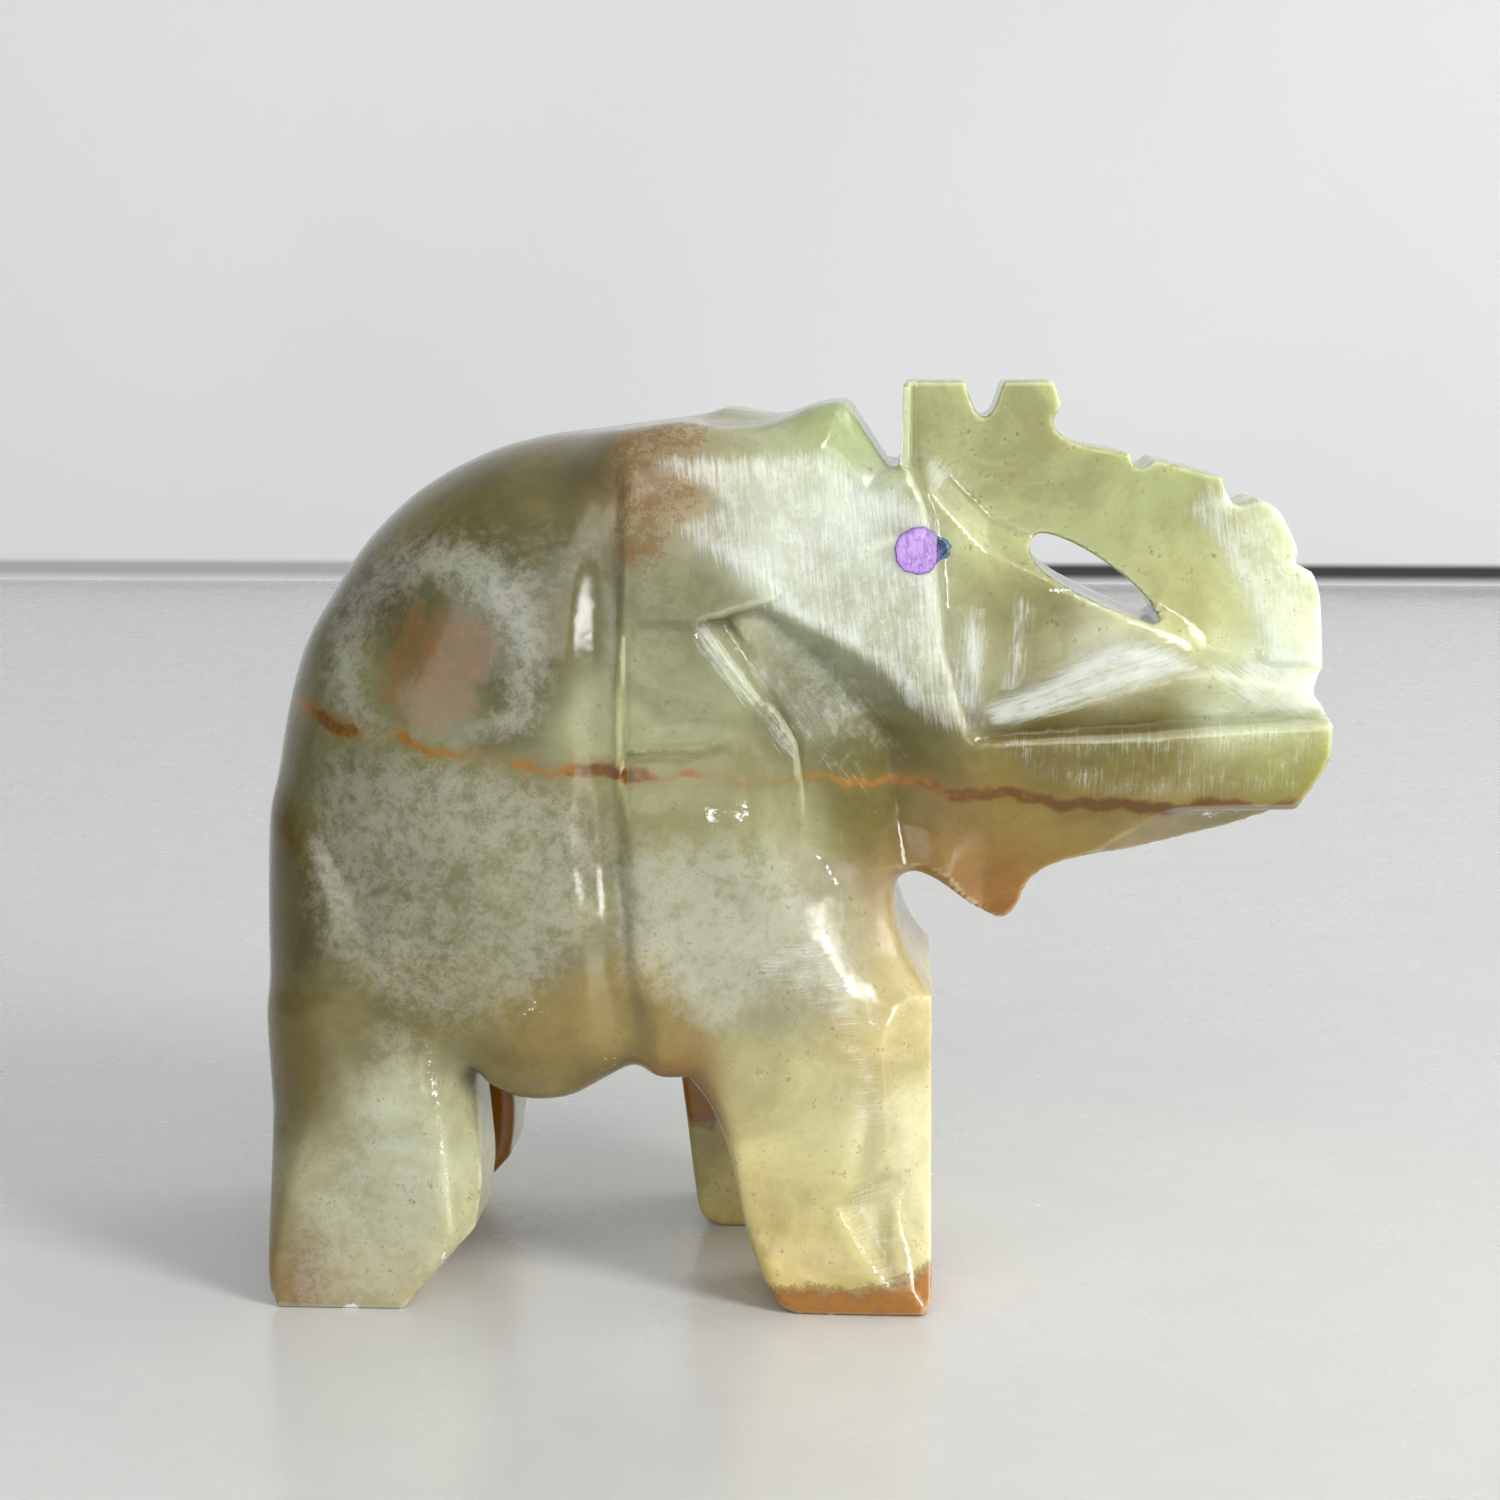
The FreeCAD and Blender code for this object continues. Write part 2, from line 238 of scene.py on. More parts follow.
# %% Muzzle lines: for each line from the throat up, its height and its half width at MUZZLE_X
MUZZLE_X = [10, 14, 19, 24, 29, 34, 38]
MUZZLE_LINES = [
    ([20, 22, 24, 24, 24, 24, 24], [9.5, 3.2, 2.6, 3, 4, 5, 5]),
    ([28, 28, 29, 29.5, 30, 31, 32], [9.0, 5.6, 5.6, 6.3, 6.6, 6.6, 6.4]),
    ([34, 33.4, 33, 33, 33, 33, 33.4], [9.0, 8.0, 7.1, 6.9, 6.8, 6.6, 6.4]),
    ([37.2, 36.9, 35.9, 34.9, 34.7, 34.5, 34.4], [9.6, 9.0, 8.4, 8.1, 8.0, 7.8, 7.6]),
    ([38.8, 38.9, 39.2, 39.4, 39.8, 40.1, 40.5], [9.8, 9.0, 8.7, 8.6, 8.5, 8.4, 8.3]),
    ([39.2, 39.3, 39.5, 39.7, 40.1, 40.4, 40.8], [9.8, 8.5, 7.3, 6.8, 6.4, 6.0, 5.8]),
    ([40.6, 40.3, 41.2, 42.6, 43.6, 42.6, 41.6], [10.0, 9.1, 9.2, 8.9, 7.3, 6.3, 6.0]),
    ([42.0, 42.2, 44.4, 46.1, 44.6, 43.4, 42.6], [10.0, 8.7, 7.6, 6.9, 6.0, 5.6, 5.5]),
    ([56.2, 51.9, 49.6, 47.2, 45.1, 43.8, 43.0], [7.8, 7.7, 7.4, 7.0, 5.6, 5.2, 5.2]),
    ([58.2, 54.2, 51.8, 49.4, 46.6, 44.9, 44], [5.0] * 7),
    ([70] * 7, [5.0] * 7),
]

# %% Neck channel: for each line from the shoulder forward, its x and its half width at NECK_Z
NECK_Z = [20, 21.5, 24, 27, 30, 33, 36, 39.5, 42, 45, 47.5, 50]
NECK_LINES = [
    ([6, 5.6, 3.4, 1.8, 0.8, -0.2, 0.0, -0.3, -1.5, -3.0, -4.4, -6], [20] * 12),
    ([8.6, 7.8, 5.2, 3.4, 2.2, 1.0, 1.2, 0.9, -0.4, -1.9, -3.4, -5],
     [14.3, 14.2, 14.2, 14.2, 14.2, 14.1, 13.6, 13.0, 13.0, 13.4, 14.0, 14.8]),
    ([11.5, 11, 9.6, 8.6, 8.4, 8.0, 7.6, 6.8, 4.6, 2.2, -0.6, -3.5],
     [12.4, 12.0, 11.0, 9.9, 9.0, 8.3, 8.1, 8.5, 9.5, 10.9, 12.6, 14.4]),
    ([16, 16, 15, 14, 14, 14, 14, 13.4, 9.6, 5.9, 1.6, -3],
     [12, 11, 9, 8, 8.0, 8.2, 8.8, 9.7, 10.4, 11.7, 13.2, 14.8]),
    ([22] * 6 + [20, 19, 15, 12, 8, 4], [12, 12, 12, 12, 12, 12, 12.4, 13, 13, 13.5, 14, 15]),
]


def between_lines(lines, stations, along, across):
    """Half width that is linear across from each feature line to the next."""
    placed = [(np.interp(along, stations, where), np.interp(along, stations, width)) for where,
              width in lines]
    width = placed[0][1] + 0 * across
    for (p0, w0), (p1, w1) in zip(placed[:-1], placed[1:]):
        width = width + np.clip((across - p0) / (p1 - p0), 0, 1) * (w1 - w0)
    return width


# %% Trunk bevel
def trunk_bevel(x, z):
    """Wide bevel round the front of the trunk: a cone 5 - 0.62 (r - 9.2) that ends at a step below
    the notch, and runs out above the tusks."""
    radius = np.hypot(x - 24, z - 45)
    step = 5 + 2.5 * (0.6 * (z - 54.3) - 0.8 * (x - 27.9))
    bevel = np.maximum(np.maximum(5 - 0.62 * (radius - 9.2), step), 5 + 0.8 * np.maximum(45 - z, 0))
    return np.where(radius < 9.2, 99, bevel)


# %% Ridge lines on the legs: height, then the ridge's x there
FORELEG_EDGE = ([0, 2.1, 4.3, 7.3, 9.1, 10.5, 12.5, 14.5, 17.1, 20.5, 22.9, 26.4, 29.8, 33],
                [9.0, 6.8, 5.2, 3.7, 4.3, 4.6, 5.0, 5.1, 4.9, 4.8, 4.4, 3.2, 2.1, 1.0])
FORELEG_FRONT = ([0, 4, 8, 12, 16, 20, 24, 28], [9.6, 9.0, 7.6, 7.4, 7.2, 7.0, 6.4, 5.2])
STRIP_EDGE = ([24, 30, 36, 39, 42.4, 45, 47.7], [9, 5, 1.9, 0.9, -1.7, -3.6, -5.6])
HIND_EDGE = ([0, 1.8, 5.5, 8.6, 11.4, 13.6, 16.4, 19.2],
             [-24.4, -23.6, -22.8, -23.0, -23.2, -23.5, -24.0, -24.2])
# A small scallop low on the right foreleg
SCALLOP = outline([[(4.6, 8.5), (5.8, 9.4), (7.4, 10.1), (8.9, 8.8), (8.1, 6.4), (8.0, 4.7), (8.7, 2.1)],
                   [(7.4, 1.9), (6.4, 3.1), (5.3, 4.9), (3.7, 7.3)]])


# %% All the cuts together
def cuts(x, z):
    """How deep the ground facets and wheel cuts reach: the smallest of them all, 99 where there is none."""
    # foreleg: outer face, a band that turns in at the edge line, the front chamfer and a scallop
    foreleg = 13.8 + (z - 9) ** 2 / 160 + (x - 0.5) ** 2 / 90 + 1.0 * smooth_step(8, 0, z)
    foreleg = foreleg - 0.45 * np.maximum(x - np.interp(z, *FORELEG_EDGE), 0)
    foreleg = foreleg - 0.75 * np.maximum(x - np.interp(z, *FORELEG_FRONT), 0)
    foreleg = foreleg - 0.7 * smooth_step(0, 1.3, -signed_distance(SCALLOP, x, z))
    deepest = np.where((x > -9) & (z < 34), foreleg + 1.2 * np.maximum(z - 26, 0), 99)
    # hind leg: its front edge is turned towards the belly
    thigh = 14.9 + 0.05 * np.maximum(z - 8, 0) + 0.07 * np.maximum(8 - z, 0)
    thigh = thigh - 1.3 * np.maximum(x - np.interp(z, *HIND_EDGE), 0)
    thigh = thigh + 0.06 * np.maximum(z - 11, 0) ** 2 + 5 * np.maximum(x + 21, 0)
    deepest = np.minimum(deepest, np.where((x < -15) & (z < 24), thigh, 99))
    # side of the head above the cheek, then the neck channel, both stopping at the ear's edge
    behind = np.maximum(10.6 - x, 0)
    head = 10.1 + 0.33 * behind + 0.002 * behind**2
    head = head - 0.03 * np.maximum(z - 53, 0) ** 2 + 0.4 * np.maximum(36 - z, 0)
    neck = between_lines(NECK_LINES, NECK_Z, np.clip(z, 20, 50), x)
    neck = neck + 3 * np.maximum(z - 49, 0) + 2 * np.maximum(20 - z, 0)
    strip = 14.5 - 1.05 * np.maximum(x - np.interp(z, *STRIP_EDGE), 0) + 0.15 * np.maximum(39 - z, 0)
    behind_rim = smooth_step(0.4, -0.4, x - np.interp(z, NECK_Z, NECK_LINES[1][0])) * (z < 48)
    front = np.minimum(head, neck)
    front = front + (np.minimum(strip, head + 3) - front) * behind_rim
    ear_edge = signed_distance(EAR, x, z)
    ear = 15.2 - 0.5 * smooth_step(48.0, 47.2, z) * smooth_step(-11, -8, x)
    ear = ear - 0.05 * np.maximum(x + 4, 0) + 0.12 * np.maximum(41 - z, 0)
    scoop = 0.55 + 2.5 * smooth_step(49.5, 46.5, z)
    front = np.maximum(front, ear - 0.75 - scoop * np.maximum(ear_edge, 0))
    front = ear + (front - ear) * smooth_step(-0.05, 0.35, ear_edge)
    front = np.where(x > -10.6, front, 99)
    # muzzle, trunk and the corner where the cheek meets the temple
    muzzle = np.minimum(between_lines(MUZZLE_LINES, MUZZLE_X, x, z), trunk_bevel(x, z))
    corner = wheel_cut(x, z, (12.0, 45), -81, 8.6, 1.2, 60)
    muzzle = np.minimum(muzzle, corner + 0.25 * np.maximum(z - 49, 0) ** 1.5)
    face_edge = np.interp(z, [22, 36, 39, 45.3, 51.5, 55, 58], [11, 12, 12.9, 11.0, 10.4, 9.6, 8.4])
    blend = 0.15 + 2.5 * smooth_step(41, 34, z)
    front = front + (muzzle - front) * smooth_step(-1, 1, (x - face_edge) / blend)
    return np.minimum(deepest, np.where((z > 20) | (x > 12), front, 99))


# %% Base width
def base_width(x, z):
    """Half width before the facets are ground. Behind ear and shoulder the barrel sinks in
    an S curve, and steps up again at the groove line."""
    t = x - np.interp(z, *GROOVE_X)
    fade = smooth_step(17.0, 22, z) * smooth_step(60.5, 55, z)
    cut = 0.9 * smooth_step(-3.4, -1.0, t) * np.exp(-np.maximum(t, 0) / 0.55)
    return soft_average(x, z, PLACES[:, 2]) - fade * cut


# %% [markdown]
# The relief and the distances are stored on a fine square grid, and read from it by bilinear
# interpolation. A light blur rounds every crease by about a quarter of a millimetre, as polishing does.

# %% Store the maps
STEP = 0.2
map_x = np.arange(-41, 41, STEP)
map_z = np.arange(-4, 67, STEP)
grid_x, grid_z = np.meshgrid(map_x, map_z, indexing="ij")


def blurred(field, sigma):
    """Gaussian blur, one axis after the other; sigma is in grid steps."""
    reach = int(3 * sigma + 1)
    kernel = np.exp(-0.5 * (np.arange(-reach, reach + 1) / sigma) ** 2)
    kernel /= kernel.sum()
    for axis in (0, 1):
        padded = np.pad(field, [(reach, reach) if a == axis else (0, 0) for a in (0, 1)], mode="edge")
        windows = [np.take(padded, range(i, i + field.shape[axis]), axis=axis) for i in range(len(kernel))]
        field = sum(w * k for w, k in zip(windows, kernel))
    return field


loop = signed_distance(loop_outline, grid_x, grid_z)
edge_radius = soft_average(grid_x, grid_z, PLACES[:, 3], 3.0)
sharp_at_loop = np.where(loop < 3, 0.5 + 0.2 * np.maximum(loop, 0), 99)
sharp_at_sole = 0.35 + 0.5 * np.maximum(grid_z, 0)
maps = np.stack([
    np.maximum(signed_distance(side_outlines[0], grid_x, grid_z), -loop),
    np.maximum(signed_distance(side_outlines[1], grid_x, grid_z), -loop),
    blurred(base_width(grid_x, grid_z), 1.1),
    np.minimum(edge_radius, np.minimum(sharp_at_loop, sharp_at_sole)),
    blurred(np.minimum(cuts(grid_x, grid_z), 20), 0.9),
]).astype(np.float32)
print("relief maps:", maps.shape)


def read_maps(x, z):
    """All the maps at scattered points, by bilinear interpolation."""
    u = np.clip((x - map_x[0]) / STEP, 0, len(map_x) - 1.001)
    v = np.clip((z - map_z[0]) / STEP, 0, len(map_z) - 1.001)
    i, j = u.astype(int), v.astype(int)
    u, v = u - i, v - j
    a = maps[:, i, j] * (1 - v) + maps[:, i, j + 1] * v
    b = maps[:, i + 1, j] * (1 - v) + maps[:, i + 1, j + 1] * v
    return a * (1 - u) + b * u


# %% [markdown]
# ## 4. The stone as one field
#
# `stone(x, y, z)` is negative inside the elephant. A rounded slab with outline distance d, half width
# w and edge radius r is `(max(d + r, 0)^p + max(|y| - w + r, 0)^p)^(1/p) - r`. The saw slots between the
# legs and between the tusks are then taken out of it.


# %% The field
def stone(x, y, z):
    """Signed field of the whole carving at points x, y, z (arrays of one shape)."""
    right, left, width, radius, ground = read_maps(x, z)
    d = right + (left - right) * smooth_step(-3, 3, y)
    a = d + radius
    b = np.abs(y) - width + radius
    power = 2.2
    outside = (np.maximum(a, 0) ** power + np.maximum(b, 0) ** power + 1e-9) ** (1 / power)
    field = outside + np.minimum(np.maximum(a, b), 0) - radius
    tail_x = -36.0 + 0.009 * np.maximum(z - 30, 0) ** 2
    tail = np.hypot(x - tail_x, y + 0.5 * np.sin(z / 6))
    tail = tail - 1.1 * smooth_step(47, 34, z) - 0.25 * smooth_step(24, 19, z)
    field = soft_min(field, soft_max(tail, np.maximum(z - 44, 15.5 - z), 1.2), 0.7)
    field = soft_max(field, np.abs(y) - ground, 0.25)
    slot = np.maximum(np.abs(y) - 4.5 - 0.02 * (14 - z), z - 14.6 - 0.9 * np.cos(y / 3.2))
    field = soft_max(field, -slot, 0.9)
    gap = np.maximum(np.maximum(np.abs(y) - 1.6, 27.5 + 0.35 * (z - 32) - x), z - 40.0)
    return soft_max(field, -gap, 0.5)


# %% [markdown]
# ## 5. From field to mesh
#
# A remesh modifier would need a mesh to start from. A surface net needs only the field: each small
# cube that the surface passes through gets one vertex, and each grid edge that crosses the surface
# gets one quad. The vertices are then moved on to the true surface along the field's slope.


# %% Surface net
def surface_net(field, low, cell):
    """Mesh where the field changes sign: one vertex per mixed cell, at the mean of the crossings on
    its edges, and one quad per crossed edge."""
    shape = np.array(field.shape)
    inside = field < 0
    cells = tuple(shape - 1)
    vertex_sum = np.zeros((np.prod(cells), 3))
    vertex_count = np.zeros(np.prod(cells))
    quads = []
    for axis in range(3):
        others = [a for a in range(3) if a != axis]
        lower = np.take(inside, range(shape[axis] - 1), axis=axis)
        upper = np.take(inside, range(1, shape[axis]), axis=axis)
        index = np.array(np.nonzero(lower != upper))
        ahead = index.copy()
        ahead[axis] += 1
        start, end = field[tuple(index)], field[tuple(ahead)]
        crossing = index.astype(float)
        crossing[axis] += start / (start - end)
        corners = []
        for back_a, back_b in ((0, 0), (1, 0), (1, 1), (0, 1)):
            corner = index.copy()
            corner[others[0]] -= back_a
            corner[others[1]] -= back_b
            flat = np.ravel_multi_index(tuple(corner), cells)
            corners.append(flat)
            for k in range(3):
                vertex_sum[:, k] += np.bincount(flat, crossing[k], len(vertex_count))
            vertex_count += np.bincount(flat, minlength=len(vertex_count))
        quad = np.array(corners).T
        flip = (start < 0) == (axis == 1)
        quad[flip] = quad[flip][:, ::-1]
        quads.append(quad)
    used = np.nonzero(vertex_count)[0]
    number = np.full(len(vertex_count), -1)
    number[used] = np.arange(len(used))
    points = low + cell * vertex_sum[used] / vertex_count[used, None]
    return points, number[np.vstack(quads)]


def onto_surface(points, field, rounds=4, reach=0.15):
    """Newton steps p - f g / |g|^2, with the gradient g from central differences."""
    for _ in range(rounds):
        gradient = slopes(points, field)
        move = -field(*points.T)[:, None] * gradient / ((gradient**2).sum(1, keepdims=True) + 0.05)
        length = np.linalg.norm(move, axis=1, keepdims=True)
        points = points + move * np.minimum(1, reach / (length + 1e-9))
    return points


def slopes(points, field, e=0.04):
    """Gradient of the field at each point, from central differences."""
    rises = [field(*(points + e * axis).T) - field(*(points - e * axis).T) for axis in np.eye(3)]
    return np.stack([rise / (2 * e) for rise in rises], axis=1)


# %% Build the carving
CELL = 0.42
low = np.array([-38.6, -18.4, -0.9])
size = np.array([77.2, 36.8, 65.6])  # a little more than the elephant on every side
axes = [low[k] + CELL * np.arange(int(size[k] / CELL) + 2) for k in range(3)]
field = np.empty([len(a) for a in axes], np.float32)
for i, x in enumerate(axes[0]):
    y, z = np.meshgrid(axes[1], axes[2], indexing="ij")
    field[i] = stone(np.full(y.shape, x), y, z)
points, quads = surface_net(field, low, CELL)
points = onto_surface(points, stone)

# %% Normals: the field's slope, and the mesh's own normal where a corner is too sharp for the slope
corner = points[quads]
face_normal = np.cross(corner[:, 2] - corner[:, 0], corner[:, 3] - corner[:, 1])
shares = [np.bincount(quads.ravel(), np.repeat(face_normal[:, k], 4), len(points)) for k in range(3)]
face_normal = np.stack(shares, axis=1)
face_normal /= np.linalg.norm(face_normal, axis=1, keepdims=True) + 1e-9
normals = slopes(points, stone)
normals /= np.linalg.norm(normals, axis=1, keepdims=True) + 1e-9
agree = smooth_step(0.75, 0.95, (normals * face_normal).sum(1))[:, None]
normals = agree * normals + (1 - agree) * face_normal
print("carving:", len(points), "vertices,", 2 * len(quads), "triangles")
print("vertices on the field's slope:", int((agree > 0.5).sum()))


# %% Mesh to object
def mesh_object(name, points, faces, material=None):
    """Object whose mesh is given in millimetres, smooth shaded."""
    mesh = bpy.data.meshes.new(name)
    mesh.from_pydata((np.asarray(points) * 0.001).tolist(), [], [list(map(int, face)) for face in faces])
    mesh.polygons.foreach_set("use_smooth", [True] * len(mesh.polygons))
    if material:
        mesh.materials.append(material)
    thing = bpy.data.objects.new(name, mesh)
    bpy.context.scene.collection.objects.link(thing)
    return thing


# %% [markdown]
# ## 6. What varies through the block
#
# Banded onyx is calcite laid down in water. Its green tint drifts, iron left a rust patch and a thin
# vein, and white crystals grew as clouds, one of them a ring. A tiling texture cannot know where
# these lie. So each vertex carries them as attributes, worked out from its x and z, since the bands
# run straight through the block. The fine grain is left to the material.
# The tints also hold painted shade and painted glow, and the chips share their mask with painted glints.

# %% Colour places: x, z, then the colour there as red, green, blue out of 255
# Each colour is the stone's own with painted shade where the surface turns away from the light, as on the
# rump and the top of the back, and painted glow where light passes through the trunk and the legs.
TINTS_WITH_PAINTED_LIGHT = np.array([
    (-35, 50, 94, 86, 46), (-25, 57, 112, 104, 64), (-14, 58, 120, 112, 74), (-37, 30, 96, 86, 46),
    (-36, 15, 112, 101, 58), (-36, 4, 132, 122, 80), (-30, 40, 122, 120, 86), (-20, 48, 108, 106, 76),
    (-14, 50, 112, 108, 78), (-25, 30, 128, 126, 96), (-16, 30, 136, 132, 100), (-25, 20, 128, 120, 78),
    (-18, 16, 146, 130, 80), (-12, 18, 148, 132, 84), (-30, 8, 172, 170, 138), (-24, 8, 202, 204, 178),
    (-24, 14, 186, 188, 158), (-21.5, 6, 200, 200, 162), (-27, 1.5, 176, 168, 130),
    (-34.5, 1, 140, 112, 76), (-8, 57, 164, 146, 116), (-8, 50, 146, 146, 116), (-7, 43, 154, 156, 122),
    (0, 55, 176, 182, 164), (6, 53, 182, 188, 172), (3, 61, 160, 170, 124), (-2, 60, 168, 168, 136),
    (6, 47, 186, 190, 170), (4, 42, 112, 112, 78), (8, 38, 98, 92, 40), (8, 33, 106, 98, 44),
    (-6, 36, 154, 152, 112), (-2, 33, 158, 156, 120), (0, 25, 172, 170, 140), (4, 26, 178, 176, 148),
    (0, 14, 196, 190, 144), (2, 8, 196, 188, 136), (8, 12, 210, 204, 166), (8, 20, 198, 186, 134),
    (-2, 9, 204, 190, 136), (-1, 4, 204, 184, 122), (9, 27, 186, 160, 116), (12, 60, 174, 177, 132),
    (18, 57, 174, 177, 130), (26, 55, 173, 178, 130), (14, 54, 182, 184, 138), (30, 48, 200, 202, 142),
    (34, 50, 224, 231, 204), (36, 45, 228, 234, 210), (28, 50, 184, 184, 134), (32.5, 32.3, 148, 130, 80),
    (16, 47, 134, 131, 82), (22, 44, 206, 207, 182), (13, 44, 176, 176, 146), (24, 41, 124, 114, 60),
    (18, 39.5, 132, 122, 66), (32, 42, 204, 210, 180), (17, 37, 116, 100, 44), (24, 37, 118, 108, 46),
    (34, 37, 162, 162, 92), (14, 32, 130, 104, 42), (20, 32, 142, 122, 60), (30, 33, 150, 144, 84),
    (13, 29, 152, 112, 60), (15, 26.5, 184, 122, 50), (11, 30, 152, 118, 74), (-8, 13, 150, 110, 60),
    (-6, 5, 182, 176, 120), (9.4, 22.5, 214, 204, 160), (12, 33.6, 150, 136, 84), (18, 34.3, 150, 140, 80),
    (26, 32.5, 170, 160, 110), (12, 31, 150, 118, 72), (19, 31.3, 150, 118, 68), (26, 31.6, 158, 132, 84),
], float)


# %% Helpers for the pattern
def to_linear(colour):
    """sRGB 0-255 to linear light: ((c + 0.055) / 1.055)^2.4."""
    c = np.asarray(colour, float) / 255
    return np.where(c > 0.04045, ((c + 0.055) / 1.055) ** 2.4, c / 12.92)


def blob(x, z, cx, cz, rx, rz, angle=0.0):
    """1 at the centre of an ellipse and falling to 0 as exp(-r^2), turned by an angle in degrees."""
    c, s = math.cos(math.radians(angle)), math.sin(math.radians(angle))
    u, v = (x - cx) * c + (z - cz) * s, (z - cz) * c - (x - cx) * s
    return np.exp(-((u / rx) ** 2) - (v / rz) ** 2)


# %% Ground areas left unpolished: outline, whiteness, direction of the strokes in degrees
GROUND = [
    ([(-8.5, 58.3), (-7.6, 58.9), (-5.4, 58.7), (-3.2, 58.6), (0.6, 58.9), (3.1, 59.0), (4.7, 57.4),
      (5.7, 56.2), (7.6, 55.8), (8.6, 55.5), (10.1, 54.5), (10.4, 53.1), (10.5, 50.9), (11.0, 45.6),
      (11.7, 42.6), (13.4, 39.6), (11.7, 39.6), (10.2, 40.2), (8.2, 41.6), (7.0, 43.5), (5.1, 45.1),
      (2.4, 46.7), (-0.1, 48.0), (-1.8, 48.6), (-0.8, 49.3), (-1.5, 50.1), (-4.4, 51.8), (-7.1, 53.9),
      (-4.1, 55.3), (-4.6, 56.2)], 0.8, 96),
    ([(11.6, 43.9), (12.2, 46.9), (12.8, 48.1), (13.5, 47.8), (13.8, 45.9), (13.4, 39.8), (11.9, 41.7)],
     0.95, 86),
    ([(14.8, 42.4), (15.5, 45.9), (15.9, 49.3), (17.2, 48.1), (16.6, 45.4), (16.1, 42.4)], 0.6, 86),
    ([(13.4, 41.4), (16.1, 42.7), (18.3, 43.5), (20.7, 45.1), (22.9, 46.0), (24.8, 45.8), (26.8, 45.4),
      (28.3, 44.4), (29.0, 43.6), (26.3, 43.1), (23.2, 42.5), (19.5, 41.2), (16.6, 40.2),
      (14.4, 39.9)], 1.3, 17),
    ([(28.9, 44.2), (30.4, 44.0), (31.6, 44.0), (31.9, 44.7), (33.3, 44.7), (37.3, 43.8), (37.4, 40.5),
      (32.5, 40.9), (30.7, 42.0)], 0.95, -35),
    ([(27.5, 54.7), (28.4, 55.5), (29.3, 57.7), (29.7, 55.9), (31.6, 57), (34.3, 56), (36.6, 52.8),
      (37.6, 50.3), (38.6, 46.1), (38.5, 43.6), (32.1, 43.8), (33.0, 44.8), (32.6, 46.8), (31.5, 49.1),
      (30.4, 51.0), (29.4, 53.0)], 0.9, 97),
    ([(15.4, 39.5), (23.2, 39.5), (31.7, 40.2), (36.9, 40.4), (36.1, 37.9), (35.0, 35.6), (31.8, 35.4),
      (24.5, 35.1), (20.6, 35.4), (17.9, 36.5), (15.5, 38.0)], 0.28, 88),
    ([(-5.9, 47.7), (-5.0, 47.7), (-4.0, 46.3), (-1.6, 42.9), (1.0, 39.1), (0.7, 38.4), (-0.4, 39.8),
      (-3.5, 43.4), (-5.5, 45.8)], 0.75, -55),
    ([(-2.2, 24.1), (-0.2, 25.7), (2.5, 25.7), (4.0, 23.4), (5.2, 20.2), (6.4, 17.5), (7.4, 13.1),
      (5.2, 12.9), (4.8, 16.7), (4.0, 19.8), (2.5, 21.6), (0.1, 22.9)], 0.30, 2),
    ([(3.9, 7.3), (4.6, 8.5), (5.8, 9.2), (7.4, 9.6), (8.4, 8.4), (8.1, 6.4), (8.0, 4.7), (8.7, 1.9),
      (7.4, 1.9), (6.4, 3.1), (5.3, 4.9)], 0.32, 12),
    ([(9.6, 58.2), (10.3, 58.3), (11.8, 57.1), (11.0, 56.7), (10.8, 55.5), (9.8, 56.7)], 1.0, 60),
    ([(-1.0, 47.5), (2.0, 45.7), (5.0, 43.6), (6.5, 41.2), (8.5, 38.5), (6.5, 33.5), (2, 38), (-2.4, 44)],
     0.07, -55),
]

# %% Clouds of white crystals: outline seen from the side, density
CLOUDS = [
    ([(-32.4, 31), (-31.8, 36), (-30.4, 39.6), (-28.7, 38.7), (-24.4, 39.3), (-21.7, 38.7), (-18.8, 38.0),
      (-13.2, 36.3), (-11.6, 33), (-11.7, 30.0), (-12.5, 27.1), (-15.2, 23.9), (-17.0, 21.7), (-19.1, 20.3),
      (-21.7, 20.1), (-24.8, 20.6), (-28.3, 22.8), (-31.1, 25.1), (-31.9, 26.7)], 0.85),
    ([(-27.0, 20.8), (-24.2, 20.2), (-23.6, 15.6), (-23.1, 11.6), (-22.6, 7.6), (-22.8, 3.5), (-24.1, 0.6),
      (-34.0, -1), (-33.7, 5.3), (-32.7, 8.4), (-30.6, 11.5), (-29.4, 15.5)], 0.8),
    ([(-11.5, 30.9), (-10.7, 33), (-5.9, 32.9), (-0.6, 33.3), (1.3, 30.6), (4.8, 25.6), (6.0, 22.6),
      (6.4, 20.6), (6.2, 20.2), (4.4, 20.4), (3.2, 21.0), (2.5, 21.8), (0.1, 22.8), (-1.4, 21.5),
      (-2.6, 20.3), (-3.7, 19.3), (-5.9, 20.5), (-9.4, 23.0), (-11, 24.4)], 1.05),
    ([(-1.0, 47.3), (3.5, 45.2), (7.2, 42.0), (5.5, 39.3), (2.6, 39.0), (-0.2, 43.0)], 0.7),
]

# %% Painted highlights: lines of glints drawn as tiny bright breaks along the ridges: points, width, strength
PAINTED_GLINTS = [
    ([(-24.1, 18.6), (-23.9, 16.4), (-23.5, 13.6), (-23.2, 11.4), (-23.0, 8.6), (-22.9, 5.5), (-23.5, 2.2)],
     0.34, 0.78),
    ([(2.2, 31.7), (3.0, 31.2), (3.4, 30.0), (3.8, 29.4)], 0.3, 0.95),
    ([(5.4, 4.9), (6.5, 3.2), (7.4, 2.2)], 0.22, 0.95),
    ([(6.0, 20.4), (6.7, 19.8)], 0.4, 0.8),
    ([(-5.8, 47.4), (-5.4, 45.6), (-5.1, 44.6)], 0.25, 0.8),
    ([(18.2, 49.3), (19.6, 49.2)], 0.25, 1.0),
    ([(5.0, 13.2), (4.9, 16.5), (4.2, 19.0)], 0.2, 0.72),
]


